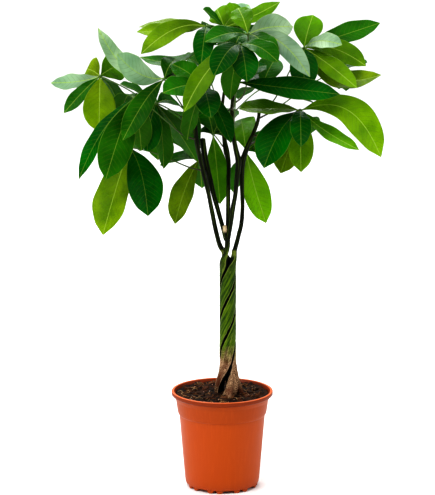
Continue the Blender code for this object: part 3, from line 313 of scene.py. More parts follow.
# Each shoot: front-view readings (across, down, depth) and radii, from the twist's top upwards.
SHOOTS = {
    "left": [
        (220.2, 246, 0.006, 0.0046), (216.9, 235, 0.003, 0.0042), (213.2, 218, 0.000, 0.0042),
        (208.7, 195, -0.008, 0.0038), (204.6, 178, -0.016, 0.0038), (200.0, 158, -0.024, 0.0040),
        (196.8, 142, -0.030, 0.0041), (194.6, 121, -0.034, 0.0041), (193.8, 104, -0.036, 0.0034),
        (195.0, 90, -0.036, 0.0028),
    ],
    "back": [
        (226.2, 240, -0.004, 0.0044), (222.4, 226, 0.004, 0.0040), (217.9, 210, 0.010, 0.0042),
        (213.4, 194, 0.016, 0.0046), (209.6, 178, 0.020, 0.0052), (205.4, 160, 0.022, 0.0055),
        (202.4, 139, 0.024, 0.0053),
    ],
    "middle": [
        (227.2, 247, -0.006, 0.0050), (227.6, 238, -0.004, 0.0050), (228.0, 226, 0.002, 0.0042),
        (228.2, 200, 0.012, 0.0040), (228.5, 180, 0.022, 0.0036), (228.6, 163, 0.030, 0.0040),
        (226.4, 151, 0.034, 0.0055), (224.0, 136, 0.040, 0.0037), (222.0, 112, 0.048, 0.0032),
        (224.0, 92, 0.050, 0.0025),
    ],
    "front": [
        (227.8, 240, -0.006, 0.0044), (230.5, 225, -0.012, 0.0040), (232.9, 208, -0.016, 0.0046),
        (235.4, 194, -0.020, 0.0040), (237.0, 177, -0.024, 0.0046), (238.4, 162, -0.026, 0.0055),
        (235.6, 148, -0.028, 0.0044), (232.4, 130, -0.030, 0.0036), (232.2, 106, -0.032, 0.0032),
        (234.0, 84, -0.034, 0.0025),
    ],
    "right": [
        (235.6, 247, 0.006, 0.0042), (238.9, 234, 0.008, 0.0040), (241.3, 224, 0.010, 0.0040),
        (242.5, 208, 0.012, 0.0036), (242.2, 192, 0.012, 0.0038), (241.8, 174, 0.012, 0.0044),
        (243.0, 160, 0.012, 0.0055), (248.6, 144, 0.010, 0.0041), (254.0, 132, 0.008, 0.0036),
        (258.5, 118, 0.006, 0.0030), (260.0, 100, 0.006, 0.0025),
    ],
}
STUMP = [(227.0, 240, -0.005, 0.0048), (225.2, 232, -0.008, 0.0041), (224.8, 226, -0.010, 0.0039)]

# Surface roots: the strand that each grows from, its points and its radii
ROOTS = (
    (
        2,
        ((0.0185, -0.0080, 0.2160), (0.0140, -0.0240, 0.1925), (0.0115, -0.0420, 0.1715)),
        (0.0045, 0.0076, 0.0050),
    ),
    (
        2,
        ((0.0245, 0.0015, 0.2090), (0.0312, 0.0015, 0.1890), (0.0385, 0.0005, 0.1690)),
        (0.0060, 0.0060, 0.0052),
    ),
)
UPPER_SPANS = 10
SIDE_SPANS = 10


def read_route(readings):
    """The places and radii of front-view readings."""
    return [seen(*reading[:3]) for reading in readings], [reading[3] for reading in readings]


def shoot_route(name):
    return read_route(SHOOTS[name])


def eased(points, radii, spans):
    """A smooth curve of this many spans through the points, with its radii."""
    ends = [points[0] * 2 - points[1]] + list(points) + [points[-1] * 2 - points[-2]]
    count = len(points) - 1
    route = []
    girths = []
    for step in range(spans + 1):
        along = step / spans * count
        index = min(int(along), count - 1)
        share = along - index
        a, b, c, d = ends[index : index + 4]
        linear = (c - a) * share
        square = (a * 2 - b * 5 + c * 4 - d) * share**2
        cubic = (b * 3 - a - c * 3 + d) * share**3
        route.append((b * 2 + linear + square + cubic) / 2)
        girths.append(radii[index] + (radii[index + 1] - radii[index]) * share)
    return route, girths


def upper_route(strand, spans):
    """The shoot that a strand ends in, from the top of the twist."""
    places, radii = shoot_route(("left", "middle", "right")[strand])
    return eased([twist_place(strand, TWIST_TOP)] + places, [SHOOT_RADIUS] + radii, spans)


def strand_route(strand):
    """A strand of the twist with the shoot that it ends in."""
    heights = twist_heights(STRAND_SPANS)
    upper, girths = upper_route(strand, UPPER_SPANS)
    route = [twist_place(strand, height) for height in heights] + upper[1:]
    return route, [twist_girth(strand, height)[0] for height in heights] + girths[1:]


def strand_rings(strand, sides, spans, upper_spans):
    """The sections of a strand from its foot to the tip of its shoot."""
    heights = twist_heights(spans)
    rings = [twist_ring(strand, height, sides) for height in heights]
    first = rings[-1][0] - twist_place(strand, TWIST_TOP)
    return rings + rings_along(*upper_route(strand, upper_spans), sides, first)[1:]


def side_route(name):
    places, radii = shoot_route(name)
    return eased(places, radii, SIDE_SPANS)


# Leaves: each has the shoot and height it springs from, its hub, and its leaflets. A leaflet is the
# reading of its tip, then its width, how far it turns its upper side to the front, and its arch.
LEAVES = [
    ("left", 0.690, (100, 76, -0.02), [
        (51, 83, 0.01, 0.035, 45, -0.05), (64, 113, -0.05, 0.029, 45, 0.04),
        (99, 132, -0.06, 0.060, 5, 0.12), (122, 120, 0.05, 0.052, 10, 0.14),
        (121, 66, 0.06, 0.054, 60, 0.06), (87, 69, 0.05, 0.050, 60, 0.05),
    ]),
    ("left", 0.712, (164, 79, -0.09), [
        (117, 54, -0.12, 0.054, 60, -0.16), (98, 28, -0.04, 0.033, 40, -0.25),
        (123, 139, -0.16, 0.041, 40, 0.10), (184, 84, -0.03, 0.050, 30, 0.14),
        (176, 59, -0.02, 0.038, 20, 0.12),
    ]),
    ("left", 0.700, (156, 103, -0.06), [
        (147, 153, -0.09, 0.070, 5, 0.12), (164, 166, -0.02, 0.050, 0, 0.12),
        (197, 163, 0.00, 0.056, 10, 0.04), (184, 110, 0.02, 0.052, 30, 0.12),
        (140, 98, 0.05, 0.044, 20, 0.14),
    ]),
    ("left", 0.668, (134, 98, -0.13), [
        (79, 179, -0.15, 0.040, 30, 0.12), (106, 178, -0.16, 0.062, 60, 0.10),
        (110, 128, 0.03, 0.048, 20, 0.14), (142, 148, -0.05, 0.046, 0, 0.10),
    ]),
    ("back", 0.600, (130, 147, -0.04), [
        (103, 235, -0.09, 0.086, 0, 0.03), (148, 216, -0.10, 0.072, 0, 0.18),
        (107, 171, 0.05, 0.046, 0, 0.16), (112, 118, 0.06, 0.052, 20, 0.14),
        (140, 151, 0.08, 0.048, 0, 0.16),
    ]),
    ("back", 0.618, (199, 159, 0.06), [
        (175, 224, 0.02, 0.062, 0, 0.08), (166, 126, 0.08, 0.055, 45, 0.10),
        (184, 113, 0.12, 0.048, 40, 0.10), (160, 165, 0.10, 0.048, 20, 0.10),
        (202, 188, 0.12, 0.040, 0, 0.04),
    ]),
    ("middle", 0.640, (213, 134, 0.09), [
        (220, 204, 0.05, 0.046, 0, 0.03), (242, 142, 0.14, 0.050, 30, 0.12),
        (206, 112, 0.19, 0.050, 20, 0.12), (186, 146, 0.19, 0.050, 20, 0.14),
        (236, 108, 0.16, 0.046, 10, 0.12),
    ]),
    ("right", 0.622, (246, 151, 0.05), [
        (266, 223, 0.055, 0.051, 80, -0.06), (272, 150, 0.08, 0.050, 30, 0.08),
        (286, 138, 0.13, 0.050, 20, 0.10), (233, 192, 0.12, 0.036, 0, 0.03),
        (241, 119, 0.15, 0.054, 20, 0.14),
    ]),
    ("right", 0.668, (300, 110, -0.06), [
        (381, 157, -0.09, 0.063, 50, 0.34), (359, 150, -0.13, 0.034, 25, -0.05),
        (301, 172, -0.09, 0.047, 0, 0.06), (264, 168, -0.12, 0.075, 10, 0.14),
        (239, 109, -0.10, 0.056, 20, 0.02), (301, 147, -0.15, 0.039, 0, 0.14),
    ]),
    ("right", 0.715, (304, 48, 0.00), [
        (313, 15, 0.03, 0.056, 10, 0.08), (380, 23, 0.03, 0.047, 40, 0.0),
        (366, 66, -0.04, 0.045, 45, 0.14), (381, 75, -0.08, 0.046, 40, -0.24),
        (357, 88, -0.11, 0.038, 35, 0.03), (304, 90, -0.08, 0.052, 0, 0.14),
        (342, 45, -0.07, 0.035, 45, 0.12),
    ]),
    ("front", 0.742, (248, 34, -0.06), [
        (310, 77, -0.13, 0.038, 45, 0.21), (293, 27, -0.03, 0.054, 45, 0.08),
        (275, 62, -0.14, 0.044, 25, 0.14), (205, 42, -0.09, 0.050, 25, 0.10),
        (238, 8, 0.00, 0.041, 20, 0.10),
    ]),
    ("middle", 0.715, (224, 27, 0.05), [
        (280, 2, 0.07, 0.031, 45, -0.04), (217, 9, 0.09, 0.044, 45, 0.10),
        (243, 9, 0.11, 0.046, 45, 0.10), (249, 5, 0.16, 0.034, 30, 0.04),
        (303, 49, 0.10, 0.038, 30, 0.06), (203, 9, 0.03, 0.040, 30, 0.04),
    ]),
    ("left", 0.735, (207, 26, -0.02), [
        (139, 27, 0.03, 0.039, 15, 0.04), (137, 31, -0.02, 0.042, 30, -0.01),
        (141, 54, -0.06, 0.040, 50, 0.17), (140, 57, 0.05, 0.044, 20, -0.27),
        (201, 66, -0.11, 0.038, 10, 0.16), (213, 45, 0.10, 0.044, 20, 0.12),
    ]),
    ("front", 0.722, (240, 44, -0.13), [
        (184, 112, -0.16, 0.041, 50, 0.16), (278, 62, -0.17, 0.050, 20, 0.14),
        (247, 82, -0.20, 0.048, 0, 0.14), (214, 76, -0.22, 0.046, 20, 0.14),
        (230, 100, -0.10, 0.044, 0, 0.10),
    ]),
    ("front", 0.690, (237, 82, -0.09), [
        (341, 98, -0.15, 0.050, 45, 0.0), (288, 92, -0.02, 0.036, 10, 0.02),
        (316, 104, -0.06, 0.040, 10, 0.05), (262, 62, -0.02, 0.044, 20, 0.12),
    ]),
    ("left", 0.722, (203, 88, -0.09), [
        (231, 143, -0.12, 0.052, 5, 0.08), (187, 140, -0.06, 0.043, 0, 0.10),
        (163, 93, -0.15, 0.050, 35, 0.10), (172, 64, -0.06, 0.050, 25, 0.10),
        (211, 118, -0.17, 0.046, 10, 0.14),
    ]),
    ("middle", 0.690, (262, 88, 0.13), [
        (304, 96, 0.14, 0.046, 10, 0.06), (276, 58, 0.20, 0.048, 20, 0.10),
        (238, 99, 0.20, 0.042, 0, 0.10), (240, 78, 0.22, 0.052, 10, 0.14),
        (292, 92, 0.27, 0.040, 0, 0.06),
    ]),
    ("middle", 0.705, (206, 70, 0.16), [
        (170, 92, 0.22, 0.055, 20, 0.12), (196, 122, 0.20, 0.055, 0, 0.14),
        (196, 106, 0.26, 0.046, 0, 0.12), (183, 57, 0.15, 0.048, 20, 0.10),
        (205, 92, 0.31, 0.042, 0, 0.14),
    ]),
    ("back", 0.640, (158, 112, 0.16), [
        (104, 128, 0.17, 0.057, 20, 0.14), (132, 104, 0.24, 0.052, 20, 0.12),
        (158, 160, 0.19, 0.048, 0, 0.14), (180, 132, 0.26, 0.055, 0, 0.14),
        (120, 84, 0.12, 0.050, 20, 0.12),
    ]),
    ("right", 0.650, (300, 122, 0.14), [
        (284, 130, 0.20, 0.046, 20, 0.10), (318, 129, 0.20, 0.040, 0, 0.08),
        (301, 165, 0.17, 0.046, 0, 0.14), (281, 176, 0.09, 0.056, 30, 0.04),
        (310, 134, 0.26, 0.052, 0, 0.14),
    ]),
    ("front", 0.735, (232, 56, 0.10), [
        (203, 40, 0.06, 0.050, 20, 0.14), (262, 46, 0.08, 0.050, 20, 0.14),
        (246, 30, 0.17, 0.050, 10, 0.14), (214, 36, 0.20, 0.050, 10, 0.14),
        (240, 66, 0.01, 0.050, 10, 0.14),
    ]),
    ("right", 0.700, (334, 72, 0.10), [
        (346, 91, 0.12, 0.036, 0, 0.04), (339, 89, 0.16, 0.030, 0, 0.02),
        (366, 60, 0.17, 0.040, 20, 0.06), (308, 72, 0.20, 0.052, 20, 0.12),
        (302, 60, 0.20, 0.046, 0, 0.10),
    ]),
]


def blade_frame(base, tip, face):
    """The chord, the blade's side and its upper normal. The side points away from the front."""
    chord = tip - base
    along = chord.normalized()
    outward = Vector((along.x, along.y, 0.0))
    if outward.length < BLADE_LEAST_RUN:
        outward = Vector((0.0, -1.0, 0.0))
    lift = Vector((0.0, 0.0, 1.0)) + outward.normalized() * BLADE_LEAN
    normal = (lift - along * lift.dot(along)).normalized()
    side = along.cross(normal)
    if side.y < 0:
        side = -side
    turn = math.radians(face)
    across = side * math.cos(turn) + normal * math.sin(turn)
    return chord, across, normal * math.cos(turn) - side * math.sin(turn)


def blade_half_width(share, width):
    """Narrow at the foot, widest past the middle, pointed at the tip."""
    rise, fall = BLADE_SWELL
    widest = rise / (rise + fall)
    full = (share / widest) ** rise * ((1 - share) / (1 - widest)) ** fall * width / 2
    least = BLADE_BASE_HALF + (BLADE_TIP_HALF - BLADE_BASE_HALF) * share
    return max(full, least)


def blade_spine(base, tip, width, face, arch, stations):
    """The blade's middle, upper direction, side and half width at each station."""
    chord, side, upper = blade_frame(base, tip, face)
    rise = chord.length * arch
    bulge = (Vector((0, 0, 1)) - chord.normalized() * chord.normalized().z) * ARCH_UP + upper * (1 - ARCH_UP)
    spine = []
    for share in stations:
        hump = 4 * share * (1 - share) * (ARCH_PEAK - ARCH_EARLY * share)
        slope = 4 * (ARCH_PEAK - 2 * (ARCH_PEAK + ARCH_EARLY) * share + 3 * ARCH_EARLY * share**2)
        middle = base + chord * share + bulge * rise * hump
        tangent = (chord + bulge * rise * slope).normalized()
        up = (upper - tangent * upper.dot(tangent)).normalized()
        across = up.cross(tangent).normalized()
        if across.dot(side) < 0:
            across = -across
        spine.append((middle, up, across, blade_half_width(share, width)))
    return spine


def stem_spot(name, height):
    """The shoot's centre, radius and direction at this height."""
    strand = {"left": 0, "middle": 1, "right": 2}.get(name)
    route, girths = side_route(name) if strand is None else strand_route(strand)
    for index in range(len(route) - 1):
        low, high = route[index], route[index + 1]
        if low.z <= height <= high.z:
            share = (height - low.z) / (high.z - low.z)
            girth = girths[index] + (girths[index + 1] - girths[index]) * share
            return low.lerp(high, share), girth, (high - low).normalized()
    return route[-1], girths[-1], (route[-1] - route[-2]).normalized()


def petiole_route(name, height, hub, sway=0.0):
    """Out of the shoot nearly level, then up in an arc to the hub."""
    centre, girth, ahead = stem_spot(name, height)
    out = Vector((hub.x - centre.x, hub.y - centre.y, 0.0)).normalized()
    out = (out - ahead * out.dot(ahead)).normalized()
    heel = centre + out * (girth + PETIOLE_GAP)
    start = heel + out * PETIOLE_HEEL
    span = (hub - start).length
    flat = Vector((-out.y, out.x, 0.0))
    first = start + out * span * PETIOLE_LEAVE[0] + Vector((0, 0, span * PETIOLE_LEAVE[1])) + flat * sway
    second = start.lerp(hub, PETIOLE_ARRIVE[0]) + Vector((0, 0, span * PETIOLE_ARRIVE[1])) + flat * sway
    route = [heel]
    for step in range(PETIOLE_SPANS + 1):
        t = step / PETIOLE_SPANS
        s = 1 - t
        route.append(start * s**3 + first * 3 * s * s * t + second * 3 * s * t * t + hub * t**3)
    radii = [PETIOLE_STEM_RADIUS]
    for step in range(PETIOLE_SPANS + 1):
        taper = min(1, step / PETIOLE_SPANS * PETIOLE_TAPER)
        radii.append(PETIOLE_STEM_RADIUS + (PETIOLE_HUB_RADIUS - PETIOLE_STEM_RADIUS) * taper)
    return route, radii


def nudges():
    """Small changes to a leaflet, the least noticeable from the front first."""
    found = []
    for counts in itertools.product(*(range(-most, most + 1) for most, _, _ in NUDGES)):
        cost = sum(abs(count) * weight for count, (_, _, weight) in zip(counts, NUDGES))
        found.append((cost, [count * length for count, (_, length, _) in zip(counts, NUDGES)]))
    return [changes for _, changes in sorted(found, key=lambda change: change[0])]


def packed_corners(name):
    """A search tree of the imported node's corners."""
    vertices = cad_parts[name].data.vertices
    corners = KDTree(len(vertices))
    for index, vertex in enumerate(vertices):
        corners.insert(vertex.co, index)
    corners.balance()
    return corners


def stands(corners, places, reach):
    """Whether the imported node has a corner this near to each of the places."""
    return all(corners.find(place + SHIFT)[2] < reach for place in places)


def blade_edges(blade):
    """Both edges of the blade's middle layer at the checked stations."""
    edges = []
    for middle, up, across, half in blade_spine(*blade, CHECKED_STATIONS):
        edges += [middle + (across * side + up * BLADE_FOLD) * half for side in (-1, 1)]
    return edges


def packed_leaf(name, leaf, changes):
    """The hub, the petiole's route and radii, and the blades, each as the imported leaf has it."""
    shoot, height, hub_reading, leaflets = leaf
    hub = seen(*hub_reading)
    corners = packed_corners(name)
    tries = [petiole_route(shoot, height + drop, hub, sway) for drop, sway in PETIOLE_TRIES]
    reach = PETIOLE_STEM_RADIUS * 1.2
    petiole = next((made for made in tries if stands(corners, made[0][2:-1], reach)), tries[-1])
    blades = []
    for *reading, width, face, arch in leaflets:
        options = []
        for deep, sideways, up, turn in changes:
            tip = seen(*reading) + Vector((sideways, deep, up))
            options.append((hub + (tip - hub).normalized() * LEAFLET_START, tip, width, face + turn, arch))
        standing = (blade for blade in options if stands(corners, blade_edges(blade), BLADE_THICKNESS))
        blades.append(next(standing, options[0]))
    return hub, *petiole, blades


# The leaves' tones, one letter for each leaflet in the order of LEAVES: dark, mid, bright, yellowish, and a
# pale grey-green that is a painted sheen. The tones are partly the leaflets' own differences and partly
# painted light
# and shade: dark is partly painted shade, bright is painted light, and yellowish is painted light shining
# through.
LEAF_TONES_AND_PAINTED_LIGHT = (
    "wmymby", "wwmmm", "dmmmm", "dmmm", "ydmmm", "ymmmm", "bmmdm", "bmmmb", "ybydyd", "bmbybdw", "wwmmb",
    "bbbwmm", "yyymdm", "bmddm", "dddd", "dmmmd", "dmddm", "mdmmm", "mmmmm", "mmmym", "mmmdm", "ddmmm",
)
TONES_AND_PAINTED_LIGHT = {
    "d": (0.0005, 0.128, 0.0003),
    "m": (0.022, 0.180, 0.0006),
    "b": (0.150, 0.370, 0.0006),
    "y": (0.175, 0.330, 0.0006),
    "w": (0.310, 0.490, 0.430),
}
TONE_SPREAD = 0.16
LEAF_SHEEN = 0.12
TRANSLUCENCE = 0.42

# Fine leaflets: a vein slants from the midrib and curves, and a sheet is quilted between its veins
VEIN_SPACING = 0.0095
VEIN_SLANT = 0.55
VEIN_CURVE = 0.6
VEIN_QUILT = 0.00028
STATION_STEP = 0.0022
LEAST_SPANS = 20
FINE_SHIFTS = (0.045, 0.12, 0.28, 0.46, 0.64, 0.80, 0.92, 1.0)
FOLD_EASE = 1.25
TIP_FROM = 0.88
TIP_NARROWING = 0.30
MARGIN_WAVE = 0.0013
MARGIN_WAVES = (2.2, 3.4)
MARGIN_SHARES = (0.5, 1.2)
MARGIN_LAG = 2.1
FINE_THICKNESS = 0.0006
FINE_EDGE_THICKNESS = 0.0003
MIDRIB_RADII = (0.00115, 0.00028)
MIDRIB_GROOVE = 0.35
MIDRIB_RIDGE = 1.5
PETIOLE_SIDES = 12
PETIOLE_RINGS = 30
PETIOLE_SLIM = 0.82

# The joint at either end of a petiole: how far it swells, and its middle and width as shares of the length
PETIOLE_JOINTS = ((0.55, 0.0, 0.06), (0.30, 0.97, 0.05))
HUB_SHRINK = 0.86
HUB_SQUASH = 0.8
MM = 1000.0

# Bark: heights where it turns green and where it turns near black (partly darker bark, partly painted shade
# under the crown), its ridges and cracks, and the scars of dropped leaves
GREEN_FROM = (0.238, 0.272)
DARK_FROM = (0.405, 0.455)
CRACKS_END = (0.235, 0.300)
LEVEL_WOBBLE = 0.06
BARK_RELIEF = 0.00045
BARK_GRAIN = 210.0
RIDGE_LENGTH = 34.0
RIDGES_AROUND = 3.52
RIDGE_SHARE = 0.7
CRACK_SHARE = 0.35
CRACK_STRETCH = 0.7
LOW_BARK = 0.9
SCAR_SPACING = 0.021
SCAR_WOBBLE = 0.004
SCAR_WIDTH = 0.055
SCAR_RELIEF = 0.00028
GRAIN_SCALE = 300.0
GRAIN_RADIUS = 2.0
FLARE_REACH = 1.22
CUT_REACH = 0.014
SHOOT_SIDES = 18
SHOOT_RINGS = 150
SIDE_RINGS = 120
ROOT_RINGS = 36
END_DOME = 0.5

# Soil, with small chips, fibres and grit strewn on it
FINE_SOIL_RINGS = 46
FINE_SOIL_STEPS = 160
CRUMB_RELIEF = 0.0021
CRUMB_GRAIN = 130.0
CRUMB_FRACTAL = (0.9, 2.1, 4)
FINE_RELIEF_SHARE = 0.8
FLAKE_JAG = 0.16
FLAKE_GRAIN = 2.6
FLAKE_ROUNDING = 0.30
SMALL_CHIPS = 90
SMALL_CHIP_SIZES = ((0.003, 0.009), (0.002, 0.004), (0.001, 0.0025))
SMALL_CHIP_REACH = 0.079
SMALL_CHIP_TILT = 0.6
LITTER_REACH = 0.080
LITTER_CLEAR = 0.030
FIBRES = 110
FIBRE_LENGTHS = (0.006, 0.020)
FIBRE_RADII = (0.00028, 0.00065)
FIBRE_BEND = 1.4
FIBRE_CLEAR = 0.0004
FIBRE_ARCH = 0.0018
FIBRE_POINTS = 7
FIBRE_LEAST_POINTS = 4
FIBRE_LIMIT = 0.0835
GRITS = 26
GRIT_RADII = (0.0006, 0.0013)
CHIP_TINTS = ((0.030, 0.013, 0.006), (0.085, 0.030, 0.012), (0.150, 0.062, 0.025), (0.055, 0.020, 0.010))
FIBRE_TINTS = ((0.32, 0.17, 0.07), (0.20, 0.085, 0.032), (0.42, 0.27, 0.14), (0.13, 0.045, 0.018))
GRIT_TINTS = ((0.75, 0.70, 0.62), (0.55, 0.42, 0.30), (0.70, 0.40, 0.30))

# Pot
FINE_POT_STEPS = 192
CORNER_STEPS = 4
CORNER_REACH = 0.0011
CORNER_SHARE = 0.45
FOOT_FINE_SIDES = 28
FOOT_BEVEL = 0.0009
FOOT_LEVEL = 0.00001
DRAIN_SIDES = 32
POT_SHARP = math.radians(38)
# Heights over which the painted shade of the upper band fades in
UPPER_BAND_PAINTED_SHADE = (0.125, 0.150)

# Stage: the dome's strength goes from the first to the second between two heights of its unit ball
FLOOR_REACH = 60.0
DOME_HEIGHTS = (0.10, 0.95)
DOME_STRENGTHS = (0.08, 0.95)

# Each lamp: its place, its size across and up, its power in watts, and the height it looks at
LAMPS = (
    ((-2.4, -1.6, 1.9), (1.4, 1.8), 26.0, 0.60),
    ((2.6, -0.9, 1.3), (1.0, 1.8), 14.0, 0.50),
    ((-0.5, 2.2, 2.5), (2.2, 1.4), 50.0, 0.65),
)
SUN_STRENGTH = 1.0
SUN_ANGLE = math.radians(35)
SUN_TURN = (math.radians(38), math.radians(-22), math.radians(-10))
SENSOR_WIDTH = 36.0
PICTURE_HEIGHT = 495


def rounded(profile):
    """The profile with each corner eased over a short reach."""
    points = [Vector(point).to_3d() for point in profile]
    found = [points[0]]
    for before, corner, after in zip(points, points[1:], points[2:]):
        start, end = (
            corner + (other - corner).normalized() * min(CORNER_REACH, (other - corner).length * CORNER_SHARE)
            for other in (before, after)
        )
        for step in range(CORNER_STEPS + 1):
            share = step / CORNER_STEPS
            found.append(start * (1 - share) ** 2 + corner * 2 * share * (1 - share) + end * share**2)
    return [(point.x, point.y) for point in found + [points[-1]]]


def round_places(radius, steps):
    """Evenly spaced (x, y) round Z."""
    turns = [math.tau * k / steps for k in range(steps)]
    return [(radius * math.cos(turn), radius * math.sin(turn)) for turn in turns]


def closed_rings(rings, start, end):
    """The vertices and faces of a closed form through rings, with a point at either end."""
    sides = len(rings[0])
    tip = len(rings) * sides
    faces = []
    for a in range(0, tip - sides, sides):
        for k in range(sides):
            b = a + (k + 1) % sides
            faces.append((a + k, b, b + sides, a + k + sides))
    for k in range(sides):
        after = (k + 1) % sides
        faces.append((k, tip, after))
        faces.append((tip - sides + k, tip - sides + after, tip + 1))
    return [place for ring in rings for place in ring] + [start, end], faces


def turned_form(rings, start, end):
    """A closed form round Z, through rings that go outward over its top and then down."""
    vertices, faces = closed_rings(rings, Vector((0.0, 0.0, start)), Vector((0.0, 0.0, end)))
    return vertices, [(face[0], *reversed(face[1:])) for face in faces]


def fine_loft(rings, relief=None):
    """A closed form through rings, with domed ends: vertices, faces, and each one's run and angle along it."""
    sides = len(rings[0])
    centres = [sum(ring, Vector()) / sides for ring in rings]
    shaped = []
    runs = []
    run = 0.0
    for index, (ring, centre) in enumerate(zip(rings, centres)):
        run += (centre - centres[max(index - 1, 0)]).length
        outs = [(place - centre).normalized() for place in ring]
        if relief:
            ring = [place + out * relief(place, out, run) for place, out in zip(ring, outs)]
        shaped.append(ring)
        runs += [run] * sides
    tips = []
    for end, inner in ((0, 1), (-1, -2)):
        away = (centres[end] - centres[inner]).normalized()
        tips.append(centres[end] + away * (rings[end][0] - centres[end]).length * END_DOME)
    vertices, faces = closed_rings(shaped, *tips)
    angles = [math.tau * k / sides for k in range(sides)] * len(rings)
    return vertices, faces, runs + [runs[0], runs[-1]], angles + [0.0, 0.0]


def fine_tube(route, girths, sides, relief=None):
    return fine_loft(rings_along(route, girths, sides), relief)


def eased_tube(points, radii, spans, relief):
    """A smooth tube of the trunk's through these points."""
    return fine_tube(*eased(points, radii, spans), SHOOT_SIDES, relief)


def form_of(work, moved):
    """The faces of an edit, and its vertices, each moved by this function."""
    vertices = [moved(vertex.co) for vertex in work.verts]
    faces = [tuple(vertex.index for vertex in face.verts) for face in work.faces]
    work.free()
    return vertices, faces


def dome(centre, radius, squash, subdivisions):
    work = bmesh.new()
    bmesh.ops.create_icosphere(work, subdivisions=subdivisions, radius=radius)
    return form_of(work, lambda co: centre + Vector((co.x, co.y, co.z * squash)))


def mesh_of(name, work):
    mesh = bpy.data.meshes.new(name)
    work.to_mesh(mesh)
    work.free()
    return mesh


def rod(radius, length, sides):
    """An edit with a cylinder round Z."""
    work = bmesh.new()
    bmesh.ops.create_cone(work, cap_ends=True, segments=sides, radius1=radius, radius2=radius, depth=length)
    return work


def add_object(name, data, collection=None):
    obj = bpy.data.objects.new(name, data)
    (collection or bpy.context.scene.collection).objects.link(obj)
    return obj


def boolean(mesh, others, operation):
    """The mesh joined with, or cut by, the others."""
    tools = bpy.data.collections.new("tools")
    bpy.context.scene.collection.children.link(tools)
    base = add_object("base", mesh)
    helpers = [add_object("helper", other, tools) for other in others]
    change = base.modifiers.new("Change", "BOOLEAN")
    change.operation = operation
    change.operand_type = "COLLECTION"
    change.collection = tools
    change.solver = "EXACT"
    graph = bpy.context.evaluated_depsgraph_get()
    made = bpy.data.meshes.new_from_object(base.evaluated_get(graph))
    for obj in [base, *helpers]:
        bpy.data.objects.remove(obj)
    bpy.data.collections.remove(tools)
    return made


def finish_mesh(name, mesh, materials, slot, *nodes):
    """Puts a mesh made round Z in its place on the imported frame."""
    mesh.transform(Matrix.Translation(SHIFT))
    mesh.update()
    mesh.shade_smooth()
    for material in materials:
        mesh.materials.append(material)
    obj = add_object(name, mesh)
    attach(obj, "root")
    if nodes:
        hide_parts(*nodes)
    return obj


class Piece:
    """Gathers the faces of one piece, with the values that its materials read at each vertex."""

    def __init__(self, name):
        self.name = name
        self.vertices = []
        self.faces = []
        self.slots = []
        self.values = {}

    def add(self, vertices, faces, slot=0, **values):
        """A value is a list with one entry for each vertex, or one entry for all."""
        start = len(self.vertices)
        self.vertices += vertices
        self.faces += [tuple(start + corner for corner in face) for face in faces]
        self.slots += [slot] * len(faces)
        for name, value in values.items():
            entries = value if isinstance(value, list) else [value] * len(vertices)
            blank = (0.0, 0.0, 0.0) if isinstance(entries[0], tuple) else 0.0
            store = self.values.setdefault(name, [])
            store += [blank] * (start - len(store)) + entries

    def finish(self, materials, slot, *nodes):
        mesh = bpy.data.meshes.new(self.name)
        mesh.from_pydata([tuple(vertex) for vertex in self.vertices], [], self.faces)
        for name, store in self.values.items():
            vector = isinstance(store[0], tuple)
            store += [(0.0, 0.0, 0.0) if vector else 0.0] * (len(self.vertices) - len(store))
            kind, key = ("FLOAT_VECTOR", "vector") if vector else ("FLOAT", "value")
            flat = list(itertools.chain(*store)) if vector else store
            mesh.attributes.new(name, kind, "POINT").data.foreach_set(key, flat)
        mesh.polygons.foreach_set("material_index", self.slots)
        return finish_mesh(self.name, mesh, materials, slot, *nodes)


